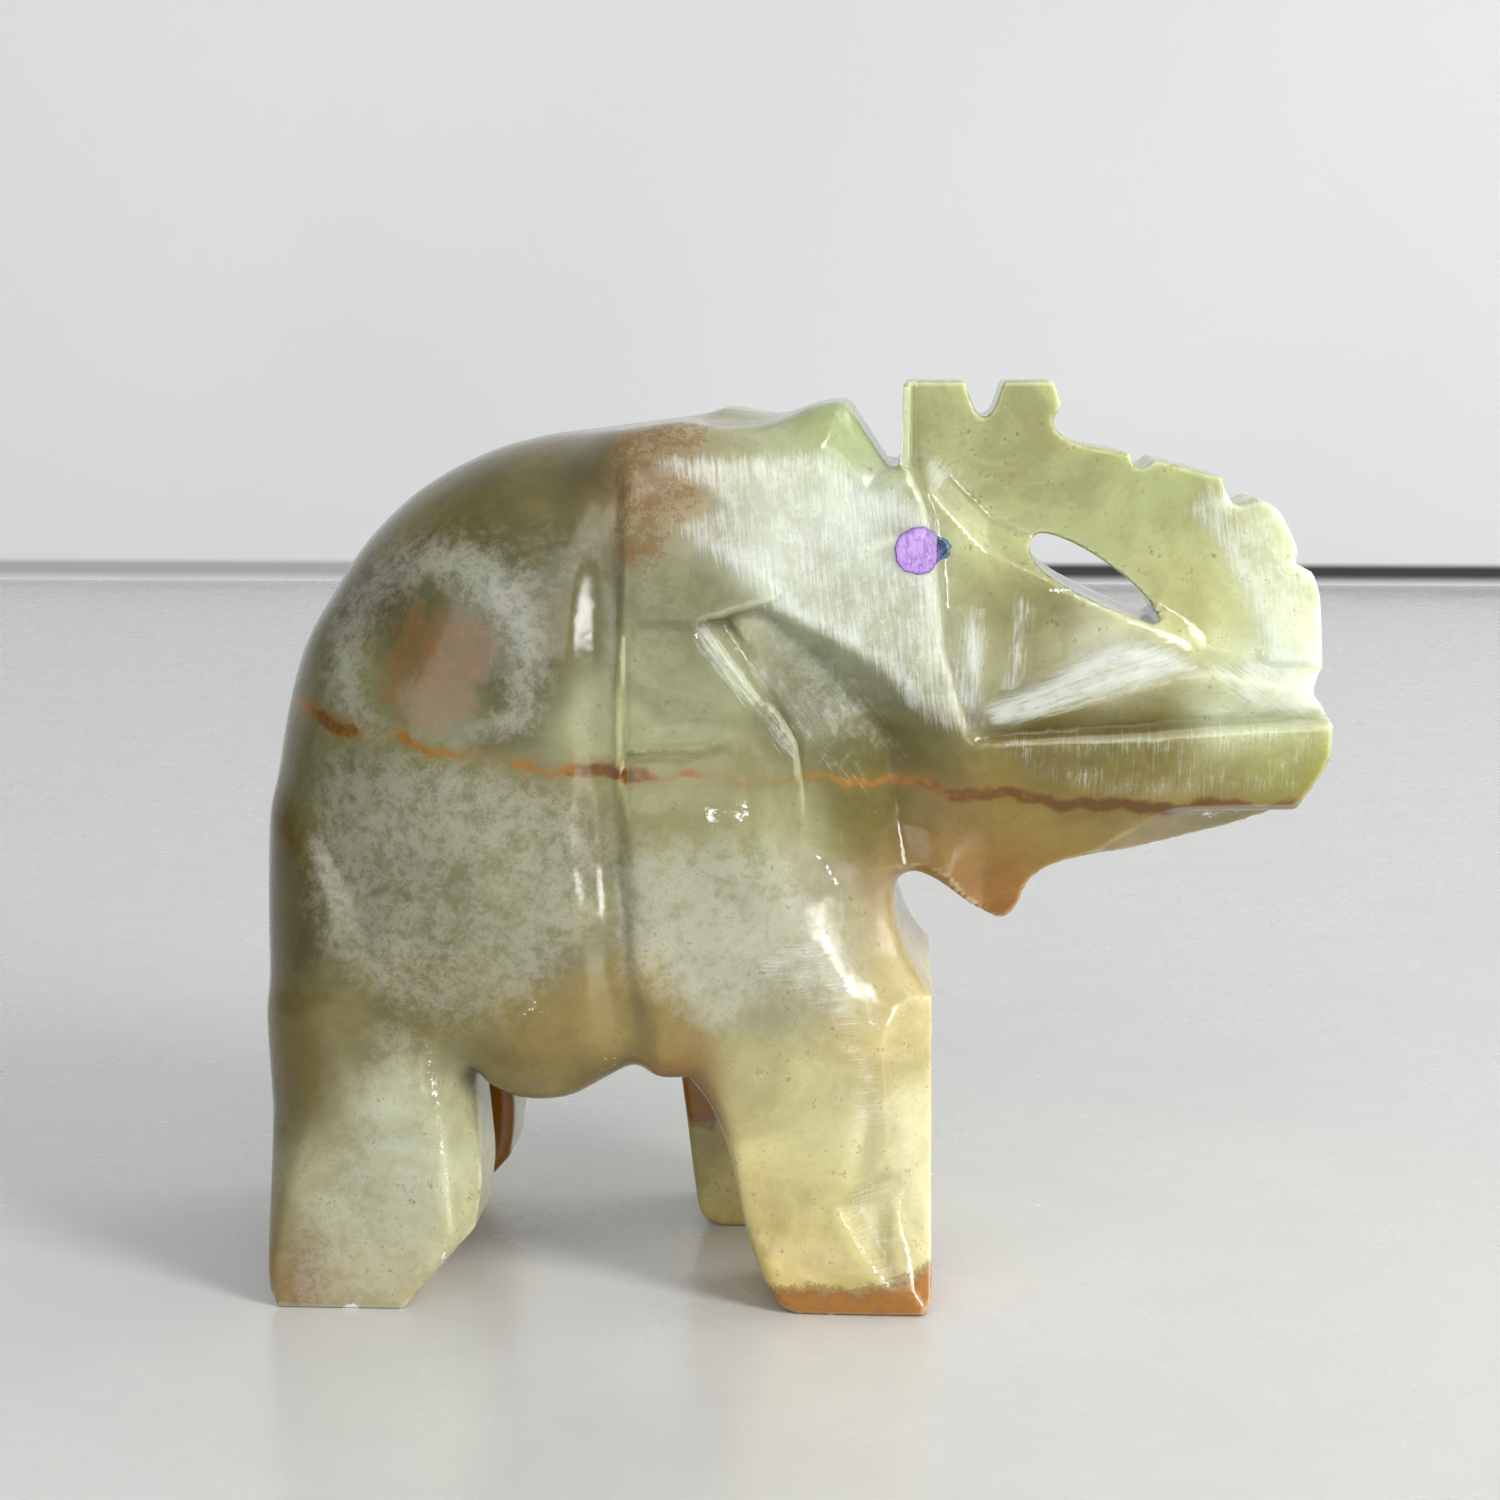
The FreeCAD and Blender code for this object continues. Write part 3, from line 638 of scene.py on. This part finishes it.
# %% The rust spots, the vein and the small chips
RUST_SPOT = [(-25.4, 48.3), (-22.7, 48.9), (-19.9, 47.8), (-19.0, 46.2), (-19.3, 44.9), (-20.0, 43.0),
             (-20.3, 41.6), (-21.9, 40.8), (-23.6, 40.1), (-24.8, 41.0), (-26.6, 42.3), (-27.0, 43.7),
             (-26.7, 45.6), (-26.0, 47.3)]
RUST_EAR = [(-11.5, 62), (-5, 61.5), (-5.2, 59.4), (-8.3, 58.6), (-5, 56.4), (-7.4, 54.4), (-11, 54.2),
            (-11.5, 57)]
RUST_DASH = [(-32.5, 41.4), (-28.9, 41.1), (-29.3, 40.0), (-30.5, 40.5)]
RUST_FAR_LEG = [(-10, 18), (-4, 18), (-4.6, 10.2), (-6.2, 8.2), (-10, 8.9)]
VEIN_Z = ([-38, -34, -27, -20, -12, -5, 3, 12, 22, 30, 38],
          [41.5, 41.3, 40.2, 38.8, 37.6, 37.2, 36.8, 35.4, 34.3, 34.3, 34.2])
VEIN_STRENGTH = ([-38, -33, -31.5, -28.7, -28, -26, -25, -22, -19, -17, -15, -13, -9, -8, -6, -2, 2, 6, 12,
                  26, 38],
                 [0.6, 0.6, 1, 0.9, 0.3, 0.3, 0.8, 0.5, 0.3, 0.6, 0.5, 1.1, 0.9, 0.4, 0.5, 0.35, 0.5, 0.7,
                  0.95, 1.15, 1.1])
# x, z, radius along x, radius along z, strength
CHIPS = [(-4.6, 34.8, 0.9, 1.2, 0.85), (-2.6, 35.0, 0.9, 1.2, 0.85), (29.6, 33.4, 1.0, 0.5, 0.9),
         (31.8, 33.6, 0.8, 0.35, 0.85), (-29.7, 0, 0.8, 0.5, 1.4), (-26.2, 0, 0.6, 0.25, 1.0),
         (-16.8, 21.5, 2.6, 2.0, 0.6), (-12.0, 17.0, 1.5, 2.5, 0.6), (3.4, 0, 0.5, 0.5, 0.9),
         (1.5, 0, 0.5, 0.3, 0.8)]
print(len(TINTS_WITH_PAINTED_LIGHT), "colour places,", len(GROUND), "ground areas,", len(CLOUDS), "clouds,", len(CHIPS),
      "chips")


# %% Curvature and patches
def curvature(points, field, e=0.22):
    """Laplacian of the field in 1/mm: positive on ridges, negative in hollows."""
    around = sum(field(*(points + sign * e * axis).T) for axis in np.eye(3) for sign in (1, -1))
    return (around - 6 * field(*points.T)) / e**2


def patch(x, z, points, softness):
    """0 outside an outline and 1 inside it, with a ramp softness wide on each side of the line."""
    return np.clip(0.5 - signed_distance(np.array(points), x, z) / (2 * softness), 0, 1)


# %% The whole pattern
def stone_pattern(points):
    """Everything that varies through the block, at each vertex: tint with painted shade and glow, crystal
    cloud, rust, vein height, frosted ground, the direction of the grinding strokes, chips with painted
    glints, and curvature."""
    x, y, z = points.T
    # the pattern is shifted and weaker on the far side
    far = smooth_step(-2, 6, y)
    px, pz = x + far * 1.8 * np.sin(z / 7 + 1), z + far * (1.5 * np.sin(x / 6) + 1)
    weight_sum = np.full(len(x), 1e-9)
    tint = np.zeros((len(x), 3))
    for tx, tz, *colour in TINTS_WITH_PAINTED_LIGHT:
        weight = np.exp(-((px - tx) ** 2 + (pz - tz) ** 2) / (2 * 2.4**2)) + 1e-7
        weight_sum += weight
        tint += weight[:, None] * to_linear(colour)
    tint = np.maximum(tint / weight_sum[:, None] - 0.018, 0.006)
    # crystals: the clouds, a ring on the flank, and a little more at the shoulder
    cloud = np.maximum.reduce([level * patch(px, pz, edge, 1.6) for edge, level in CLOUDS])
    ring = np.hypot((px + 23.3) / 7.3, (pz - 44.8) / 7.6)
    cloud = cloud + 0.95 * np.exp(-(((ring - 0.9) / 0.25) ** 2)) * smooth_step(39, 41, pz)
    cloud = cloud + 0.3 * blob(px, pz, -23, 45, 5, 5)
    cloud = cloud * (1 - 0.3 * blob(px, pz, -22, 29, 5, 5))
    cloud = cloud + 0.35 * blob(px, pz, -8, 46, 3, 6) + 0.45 * blob(px, pz, -14, 52, 7, 3)
    cloud = np.clip(cloud, 0, 1.3) * (1 - 0.4 * far)
    # rust: the spot in the ring, the ear, the sole, the inner sides of two legs and the throat
    rust = 0.85 * patch(px, pz, RUST_SPOT, 1.1) + 1.2 * patch(px, pz, RUST_DASH, 0.5)
    rust = rust + 0.58 * patch(x, z, RUST_EAR, 0.8) + 0.9 * blob(px, pz, -9.6, 52.6, 2.0, 1.3)
    rust = rust + 1.9 * smooth_step(2.5, 0.9, z - 0.12 * np.maximum(x - 5, 0) ** 1.5) * (x > -9) * (y < 2)
    far_leg = patch(x, z, RUST_FAR_LEG, 0.9)
    rust = rust + 2.2 * far_leg * smooth_step(2, 3, y) * smooth_step(9.5, 5.5, y)
    inner_leg = smooth_step(5.6, 4.9, np.abs(y)) * smooth_step(13.0, 11, z) * (x < -16)
    rust = rust + 2.0 * inner_leg + 1.6 * blob(x, z, 15.6, 26.4, 1.5, 1.0, 20)
    # vein: height above the vein's middle, and its strength along x
    vein = z - np.interp(x, *VEIN_Z) - 0.02 * (y + 12) - 0.25 * np.sin(x * 0.9) - 0.12 * np.sin(x * 2.3 + y)
    wet = np.interp(x, *VEIN_STRENGTH)
    # ground areas: how far inside one a vertex is, how white it is there, and which way the strokes run
    inside = np.full(len(x), -2.0)
    level = np.zeros(len(x))
    angle = np.where(x > 4, 97.0, 75.0)
    for edge, whiteness, direction in GROUND:
        depth = -signed_distance(np.array(edge), x, z)
        nearer = depth > inside
        inside = np.where(nearer, depth, inside)
        level = np.where(nearer, whiteness, level)
        angle = np.where(nearer & (depth > -1), direction, angle)
    inside = np.where(np.abs(y) > 2.2, inside, -2.0)
    angle = np.radians(angle)
    across, along = z * np.cos(angle) - x * np.sin(angle), x * np.cos(angle) + z * np.sin(angle)
    chip_and_painted_glint = sum(strength * blob(x, z, *spot) for *spot, strength in CHIPS)
    # the glint lines add painted highlights to the same mask as the chips
    for line, width, strength in PAINTED_GLINTS:
        distance = signed_distance(np.array(line + line[::-1]), x, z)
        chip_and_painted_glint = np.maximum(chip_and_painted_glint, strength * np.exp(-((distance / width) ** 2)))
    return {"tint": tint, "strokes": np.stack([across, along, level], axis=1), "cloud": cloud, "rust": rust,
            "vein": vein, "wet": wet, "ground": inside, "chip_and_painted_glint": chip_and_painted_glint, "curve": curvature(points, stone)}


# %% [markdown]
# ## 7. The stone's material
#
# Polished onyx is glossy, and light goes a few millimetres into it, which the shader's subsurface
# weight gives. Where the wheel left a ground face, fine white strokes cover it, and it is duller. The
# material mixes these layers from the bottom up, each steered by one attribute and broken up by
# noise in Object coordinates, so that no edge looks drawn.


# %% Node helper
class Nodes:
    """Short calls for shader nodes. Each call makes one node and returns its output socket."""

    def __init__(self, name):
        self.material = bpy.data.materials.new(name)
        self.material.use_nodes = True
        self.tree = self.material.node_tree
        self.shader = self.tree.nodes["Principled BSDF"]
        coordinates = self.tree.nodes.new("ShaderNodeTexCoord").outputs["Object"]
        self.place = self.vector("SCALE", coordinates, scale=1000.0)

    def set(self, socket, value):
        """Link an output socket, or store a plain value."""
        if isinstance(value, bpy.types.NodeSocket):
            self.tree.links.new(value, socket)
        elif isinstance(value, (tuple, list)) and socket.type == "RGBA" and len(value) == 3:
            socket.default_value = (*value, 1)
        else:
            socket.default_value = value

    def vector(self, operation, a, b=None, scale=None):
        """One vector operation."""
        node = self.tree.nodes.new("ShaderNodeVectorMath")
        node.operation = operation
        self.set(node.inputs[0], a)
        if b is not None:
            self.set(node.inputs[1], b)
        if scale is not None:
            self.set(node.inputs["Scale"], scale)
        return node.outputs["Vector"]

    def math(self, operation, a, b=0.0, clamp=False):
        """One operation on two numbers."""
        node = self.tree.nodes.new("ShaderNodeMath")
        node.operation = operation
        node.use_clamp = clamp
        self.set(node.inputs[0], a)
        self.set(node.inputs[1], b)
        return node.outputs[0]

    def step(self, value, low, high, low_out=0.0, high_out=1.0):
        """Smooth step of a value from low to high."""
        node = self.tree.nodes.new("ShaderNodeMapRange")
        node.interpolation_type = "SMOOTHSTEP"
        for socket, v in zip(node.inputs, (value, low, high, low_out, high_out)):
            self.set(socket, v)
        return node.outputs[0]

    def noise(self, place, scale, detail=3.0, roughness=0.5, distortion=0.0):
        """Noise around 0.5; scale is in waves per millimetre."""
        node = self.tree.nodes.new("ShaderNodeTexNoise")
        self.set(node.inputs["Vector"], place)
        for name, v in (("Scale", scale), ("Detail", detail), ("Roughness", roughness),
                        ("Distortion", distortion)):
            node.inputs[name].default_value = v
        return node.outputs["Fac"]

    def mix(self, factor, a, b, blend="MIX"):
        """Colour a + factor (b - a), or a blend of the two."""
        node = self.tree.nodes.new("ShaderNodeMix")
        node.data_type = "RGBA"
        node.blend_type = blend
        self.set(node.inputs["Factor"], factor)
        self.set(node.inputs[6], a)
        self.set(node.inputs[7], b)
        return node.outputs[2]

    def attribute(self, name, output="Fac"):
        """A vertex attribute."""
        node = self.tree.nodes.new("ShaderNodeAttribute")
        node.attribute_name = name
        return node.outputs[output]

    def bump(self, height, distance, strength=1.0, normal=None):
        """Normal tilted by the slope of a height; distance in metres."""
        node = self.tree.nodes.new("ShaderNodeBump")
        self.set(node.inputs["Height"], height)
        node.inputs["Distance"].default_value = distance
        self.set(node.inputs["Strength"], strength)
        if normal is not None:
            self.set(node.inputs["Normal"], normal)
        return node.outputs["Normal"]


# %% Banded onyx
def onyx():
    """Translucent green stone with crystal cloud, rust, a vein, frosted ground facets and chips, with
    painted glints, painted light on ridges and painted shade in hollows.
    """
    n = Nodes("banded_green_onyx")
    tint = n.attribute("tint", "Color")
    split = n.tree.nodes.new("ShaderNodeSeparateXYZ")
    n.tree.links.new(n.attribute("strokes", "Vector"), split.inputs[0])
    across, along, level = split.outputs
    drift = n.noise(n.place, 0.13, 4, 0.6, 0.8)
    medium = n.noise(n.place, 0.75, 5, 0.68, 0.4)
    grain = n.noise(n.place, 1.5, 6, 0.75)
    speck = n.noise(n.place, 4.5, 4, 0.75)
    grit = n.math("ADD", n.math("MULTIPLY", n.math("SUBTRACT", grain, 0.5), 1.3),
                  n.math("SUBTRACT", speck, 0.5))
    # the tint drifts lighter and darker
    dark = n.mix(1.0, tint, (0.76, 0.74, 0.66), "MULTIPLY")
    light = n.mix(1.0, tint, (1.10, 1.12, 1.12), "MULTIPLY")
    shade = n.math("ADD", n.math("MULTIPLY", drift, 0.7), n.math("MULTIPLY", medium, 0.3))
    colour = n.mix(n.step(shade, 0.34, 0.66), dark, light)
    # crystal cloud: white grains that grow denser with the cloud
    amount = n.math("ADD", n.attribute("cloud"), n.math("MULTIPLY", n.math("SUBTRACT", medium, 0.5), 1.5))
    amount = n.math("ADD", amount, n.math("MULTIPLY", grit, 1.15))
    crystals = n.math("MULTIPLY", n.step(amount, 0.2, 1.65), 0.57)
    colour = n.mix(crystals, colour, (0.53, 0.55, 0.48))
    # rust: blotchy patches, orange where it is thick
    blotch = n.math("ADD", n.attribute("rust"), n.math("MULTIPLY", grit, 1.8))
    blotch = n.math("ADD", blotch, n.math("MULTIPLY", n.math("SUBTRACT", medium, 0.5), 1.5))
    colour = n.mix(n.step(blotch, 0.25, 0.7, 0.0, 0.62), colour, (0.20, 0.102, 0.026))
    colour = n.mix(n.step(blotch, 0.85, 1.45, 0.0, 0.8), colour, (0.27, 0.100, 0.008))
    colour = n.mix(n.step(blotch, 1.4, 2.0, 0.0, 0.85), colour, (0.36, 0.15, 0.008))
    # vein: a thin line that comes and goes, with a warm halo
    wander = n.math("MULTIPLY", n.math("SUBTRACT", n.noise(n.place, 0.7, 4, 0.6), 0.5), 0.7)
    height = n.math("ADD", n.attribute("vein"), wander)
    wet = n.attribute("wet")
    near = n.step(n.math("ABSOLUTE", height), 0.0, 1.3, 1.0, 0.0)
    halo = n.math("MULTIPLY", near, n.math("MULTIPLY", wet, 0.7), clamp=True)
    colour = n.mix(halo, colour, (0.235, 0.145, 0.025))
    thick = n.math("MULTIPLY", n.step(wet, 0.2, 1.15, 0.10, 0.50), n.step(medium, 0.3, 0.7, 0.6, 1.4))
    ragged = n.math("ADD", n.math("ABSOLUTE", height), n.math("MULTIPLY", grit, 0.12))
    line = n.math("MULTIPLY", n.math("SUBTRACT", 1.0, n.step(n.math("DIVIDE", ragged, thick), 0.5, 1.3)),
                  n.step(n.math("ADD", wet, n.math("SUBTRACT", medium, 0.5)), 0.25, 0.7))
    strong = n.step(n.math("ADD", wet, n.math("SUBTRACT", grain, 0.5)), 0.65, 1.05)
    vein_tone = n.mix(strong, (0.31, 0.135, 0.010), (0.13, 0.052, 0.002))
    colour = n.mix(n.math("MULTIPLY", line, 0.9), colour, vein_tone)
    # ridges are lighter, partly edge wear and partly painted glow of light through the polished edges, and
    # hollows get painted shade
    curve = n.math("ADD", n.attribute("curve"), n.math("MULTIPLY", n.math("SUBTRACT", grain, 0.5), 1.2))
    colour = n.mix(n.step(curve, 0.9, 3.4, 0.0, 0.26), colour, (0.66, 0.68, 0.56))
    hollow_shade = n.mix(1.0, colour, (0.62, 0.55, 0.42), "MULTIPLY")
    colour = n.mix(n.step(curve, -0.5, -2.6, 0.0, 0.28), colour, hollow_shade)
    # strokes: streaks that are long one way and fine the other
    join = n.tree.nodes.new("ShaderNodeCombineXYZ")
    n.set(join.inputs[0], n.math("MULTIPLY", across, 4.5))
    n.set(join.inputs[1], n.math("MULTIPLY", along, 0.3))
    streak = n.noise(join.outputs[0], 1.0, 5, 0.78)
    ground = n.attribute("ground")
    frayed = n.math("ADD", ground, n.math("MULTIPLY", n.math("SUBTRACT", streak, 0.5), 2.4))
    inside = n.step(frayed, -0.25, 0.9)
    level = n.math("MULTIPLY", level, n.step(ground, 0.2, 2.2, 1.0, 0.42))
    white = n.math("ADD", n.math("MULTIPLY", streak, 1.7), n.math("MULTIPLY", level, 0.80))
    white = n.math("ADD", white, n.math("MULTIPLY", n.math("SUBTRACT", medium, 0.5), 0.9))
    white = n.math("MULTIPLY", inside, n.step(white, 0.92, 1.80))
    colour = n.mix(n.math("MULTIPLY", white, 0.66), colour, (0.76, 0.80, 0.765))
    # a few stray scratches, white chips, and the painted glints along the ridges
    stray = n.math("MULTIPLY", n.step(streak, 0.735, 0.80), 0.35)
    colour = n.mix(stray, colour, (0.75, 0.78, 0.70))
    chips_and_glints = n.step(n.math("ADD", n.attribute("chip_and_painted_glint"), n.math("MULTIPLY", grit, 1.1)), 0.72, 0.86)
    colour = n.mix(chips_and_glints, colour, (0.86, 0.87, 0.84))
    n.set(n.shader.inputs["Base Color"], colour)
    uneven = n.math("MULTIPLY", n.math("SUBTRACT", grain, 0.5), 0.12)
    rough = n.math("ADD", n.step(white, 0.0, 1.0, 0.12, 0.46), uneven)
    duller = n.math("ADD", n.math("MULTIPLY", chips_and_glints, 0.3), n.math("MULTIPLY", inside, 0.10))
    n.set(n.shader.inputs["Roughness"], n.math("ADD", rough, duller))
    n.set(n.shader.inputs["IOR"], 1.54)
    n.set(n.shader.inputs["Subsurface Weight"], 0.8)
    n.set(n.shader.inputs["Subsurface Radius"], (1.0, 0.95, 0.55))
    n.set(n.shader.inputs["Subsurface Scale"], 0.0030)
    pressed = n.math("MULTIPLY", inside, n.math("ADD", level, 0.4))
    scratch = n.bump(n.math("MULTIPLY", streak, n.math("ADD", pressed, 0.10)), 0.00007, 0.9)
    pit = n.bump(n.math("ADD", chips_and_glints, n.math("MULTIPLY", grit, 0.08)), 0.00006, 0.6, scratch)
    ripple = n.bump(n.noise(n.place, 0.45, 2, 0.5), 0.00010, 0.5, pit)
    n.set(n.shader.inputs["Normal"], ripple)
    return n.material


# %% Give the carving its pattern
carving = mesh_object("carved_elephant", points, quads, onyx())
carving.data.normals_split_custom_set_from_vertices(normals.tolist())
layers = carving.data.attributes
for name, values in stone_pattern(points).items():
    if values.ndim == 1:
        layers.new(name, "FLOAT", "POINT").data.foreach_set("value", values)
    elif name == "tint":
        rgba = np.hstack([values, np.ones((len(values), 1))])
        layers.new(name, "FLOAT_COLOR", "POINT").data.foreach_set("color", rgba.ravel())
    else:
        layers.new(name, "FLOAT_VECTOR", "POINT").data.foreach_set("vector", values.ravel())
print("attributes:", [a.name for a in carving.data.attributes if not a.name.startswith(".")])
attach(carving, "root")
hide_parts("carved_elephant")

# %% [markdown]
# ## 8. The eyes
#
# Each eye is a dot of felt-pen ink, a film a few hundredths of a millimetre thick with an uneven
# edge. It is a disc of rings and spokes in the side view. Each of its points is dropped on to the
# stone by bisection along Y, and the rim is closed by a second disc just under the surface.


# %% Eye ink
def ink():
    """Purple felt-pen ink, teal on the far side of the facet edge, brushed on unevenly."""
    n = Nodes("eye_ink")
    brush = n.noise(n.vector("MULTIPLY", n.place, (2.2, 1.0, 0.9)), 1.3, 5, 0.7, 1.0)
    fine = n.noise(n.place, 5.0, 3, 0.7)
    colour = n.mix(n.step(brush, 0.36, 0.62), (0.25, 0.105, 0.42), (0.44, 0.28, 0.60))
    colour = n.mix(n.step(fine, 0.5, 0.75, 0.0, 0.5), colour, (0.55, 0.45, 0.66))
    edge = n.attribute("edge")
    colour = n.mix(n.step(edge, 0.84, 1.0, 0.0, 0.6), colour, (0.13, 0.06, 0.30))
    teal = n.math("ADD", n.attribute("teal"), n.math("MULTIPLY", n.math("SUBTRACT", brush, 0.5), 1.2))
    blue_green = n.mix(n.step(fine, 0.4, 0.65), (0.012, 0.055, 0.13), (0.12, 0.22, 0.30))
    colour = n.mix(n.step(teal, 0.4, 0.6), colour, blue_green)
    n.set(n.shader.inputs["Base Color"], colour)
    n.set(n.shader.inputs["Roughness"], n.step(brush, 0.3, 0.7, 0.38, 0.6))
    n.set(n.shader.inputs["Normal"], n.bump(brush, 0.00003, 0.7))
    return n.material


# %% Outline of the ink, and the stone's height under it
EYE_X, EYE_Z = 9.1, 52.2
EYE_RADIUS = 1.6
RINGS, SPOKES = 14, 96
turn = np.linspace(0, 2 * np.pi, SPOKES, endpoint=False)
reach = EYE_RADIUS + 0.035 * np.sin(5 * turn + 1) + 0.03 * np.sin(11 * turn) + 0.02 * np.sin(23 * turn + 2)
smear = np.exp(-((np.minimum(turn, 2 * np.pi - turn) / 0.42) ** 4))
reach = np.minimum(reach, 1.34 / np.maximum(np.cos(turn), 0.1))
reach = reach + smear * (0.85 + 0.08 * np.sin(19 * turn) + 0.06 * np.sin(31 * turn))
share = np.append(np.linspace(0.02, 1, RINGS), 1.0)
ink_x = EYE_X + share[:, None] * reach * np.cos(turn)
ink_z = EYE_Z + share[:, None] * reach * np.sin(turn)
inner, outer = np.full(ink_x.shape, 4.0), np.full(ink_x.shape, 15.0)
for _ in range(24):
    middle = (inner + outer) / 2
    within = stone(ink_x, -middle, ink_z) < 0
    inner, outer = np.where(within, middle, inner), np.where(within, outer, middle)

# %% Film over the stone
height = np.append(np.full(RINGS, 0.05), -0.05)[:, None] * np.ones(SPOKES)
height[RINGS - 1] = 0.02
i, j = np.meshgrid(np.arange(RINGS), np.arange(SPOKES), indexing="ij")
i, j = i.ravel(), j.ravel()
nxt = (j + 1) % SPOKES
here, there = i * SPOKES, (i + 1) * SPOKES
film = np.stack([here + j, here + nxt, there + nxt, there + j], axis=1)
caps = [list(range(SPOKES))[::-1], list(range(RINGS * SPOKES, (RINGS + 1) * SPOKES))]
eye_ink = ink()
for side, node in ((-1, "right_eye_ink"), (1, "left_eye_ink")):
    spots = np.stack([ink_x, side * (inner + height), ink_z], axis=-1).reshape(-1, 3)
    faces = [[int(v) for v in f] for f in film] + caps
    if side < 0:
        faces = [f[::-1] for f in faces]  # the film must face away from the stone on both sides
    dot = mesh_object(node + "_film", spots, faces, eye_ink)
    teal = smooth_step(1.15, 1.45, ink_x - EYE_X).ravel()
    dot.data.attributes.new("teal", "FLOAT", "POINT").data.foreach_set("value", teal)
    dot.data.attributes.new("edge", "FLOAT", "POINT").data.foreach_set("value", np.repeat(share, SPOKES))
    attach(dot, "root")
    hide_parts(node)
print("ink film:", len(spots), "vertices,", len(faces), "faces on each side")

# %% [markdown]
# ## 9. Camera, table, wall and light
#
# The camera looks at the animal's right side from a little above, with a long lens. The elephant
# stands on a white lacquered table in front of a pale wall. The light comes from a tall window to
# the front right, and softer light fills the shadows. The world is brighter on that side too.

# %% Camera
yaw = math.radians(3.0)
pitch = math.radians(7.843)
CAMERA_DISTANCE = 0.210  # metres from the middle plane
camera_data = bpy.data.cameras.new("camera")
camera_data.sensor_width = 36
camera_data.lens = 70.56
camera = bpy.data.objects.new("camera", camera_data)
bpy.context.scene.collection.objects.link(camera)
camera.location = (-0.00285 + CAMERA_DISTANCE * math.sin(yaw), -CAMERA_DISTANCE * math.cos(yaw), 0.066)
camera.rotation_euler = (math.pi / 2 - pitch, 0, yaw)
camera_data.clip_start = 0.01
bpy.context.scene.camera = camera
print("camera at", [round(v, 4) for v in camera.location])


# %% Table and wall materials
def table_top():
    """White lacquer with a few fine marks."""
    n = Nodes("white_table")
    marks = n.noise(n.place, 0.03, 5, 0.7)
    dust = n.noise(n.place, 0.9, 3, 0.6)
    colour = n.mix(n.step(marks, 0.35, 0.65), (0.665, 0.66, 0.64), (0.70, 0.695, 0.675))
    n.set(n.shader.inputs["Base Color"], n.mix(n.step(dust, 0.70, 0.8, 0.0, 0.3), colour,
                                               (0.42, 0.41, 0.39)))
    n.set(n.shader.inputs["Roughness"], n.step(marks, 0.3, 0.7, 0.22, 0.30))
    return n.material


def pale_wall():
    """Pale wall with painted shade just above the table's far edge, where the gap behind the table lies in
    shadow.
    """
    n = Nodes("pale_wall")
    split = n.tree.nodes.new("ShaderNodeSeparateXYZ")
    n.tree.links.new(n.place, split.inputs[0])
    x, _, z = split.outputs
    cloudy = n.noise(n.place, 0.004, 2, 0.5)
    colour = n.mix(n.step(cloudy, 0.3, 0.7), (0.79, 0.80, 0.80), (0.84, 0.85, 0.85))
    # painted shade: a dark band on the wall just above the table, stronger towards the right
    gap = n.math("MULTIPLY", n.step(z, -0.5, 3.0), n.step(z, 4.4, 6.6, 1.0, 0.0))
    gap = n.math("MULTIPLY", gap, n.step(x, -160.0, 60.0, 0.45, 0.97))
    n.set(n.shader.inputs["Base Color"], n.mix(gap, colour, (0.02, 0.025, 0.022)))
    n.set(n.shader.inputs["Roughness"], 0.85)
    return n.material


# %% Table and wall
SIDE, FRONT, BACK, TOP = 1500, -900, 612, 1500
quad = [(0, 1, 2, 3)]
floor_points = [(-SIDE, FRONT, 0), (SIDE, FRONT, 0), (SIDE, BACK, 0), (-SIDE, BACK, 0)]
wall_points = [(-SIDE, BACK, 0), (SIDE, BACK, 0), (SIDE, BACK, TOP), (-SIDE, BACK, TOP)]
floor = mesh_object("floor", floor_points, quad, table_top())
wall = mesh_object("wall", wall_points, quad, pale_wall())


# %% Lights
def area_light(name, place, target, width, height, power, color=(1, 1, 1)):
    """Rectangular light at a place, turned so that it shines at the target; metres and watts."""
    data = bpy.data.lights.new(name, "AREA")
    data.shape = "RECTANGLE"
    data.size, data.size_y, data.energy, data.color = width, height, power, color
    lamp = bpy.data.objects.new(name, data)
    bpy.context.scene.collection.objects.link(lamp)
    lamp.location = place
    lamp.rotation_euler = (Vector(target) - Vector(place)).to_track_quat("-Z", "Y").to_euler()
    return lamp


area_light("window", (0.47, -0.37, 0.29), (0, 0, 0.03), 0.18, 0.40, 3.6, (1.0, 0.995, 0.98))
area_light("side glow", (0.55, 0.25, 0.22), (0, 0, 0.03), 0.4, 0.4, 1.3, (1.0, 1.0, 0.98))
area_light("front fill", (-0.15, -0.70, 0.33), (0, 0, 0.02), 0.8, 0.5, 2.1)
area_light("wall wash", (-0.40, 0.25, 0.45), (-0.40, 0.61, 0.30), 0.5, 0.3, 0.22)

# %% World: its strength rises linearly from the left to the right
world = bpy.data.worlds.new("world")
world.use_nodes = True
sky = world.node_tree
sky.nodes["Background"].inputs[0].default_value = (0.94, 0.96, 1.0, 1)
direction = sky.nodes.new("ShaderNodeTexCoord").outputs["Generated"]
split = sky.nodes.new("ShaderNodeSeparateXYZ")
ramp = sky.nodes.new("ShaderNodeMapRange")
ramp.inputs["From Min"].default_value = -1
ramp.inputs["To Min"].default_value = 0.20
ramp.inputs["To Max"].default_value = 0.70
sky.links.new(direction, split.inputs[0])
sky.links.new(split.outputs["X"], ramp.inputs["Value"])
sky.links.new(ramp.outputs[0], sky.nodes["Background"].inputs["Strength"])
bpy.context.scene.world = world
bpy.context.scene.view_settings.view_transform = "Standard"
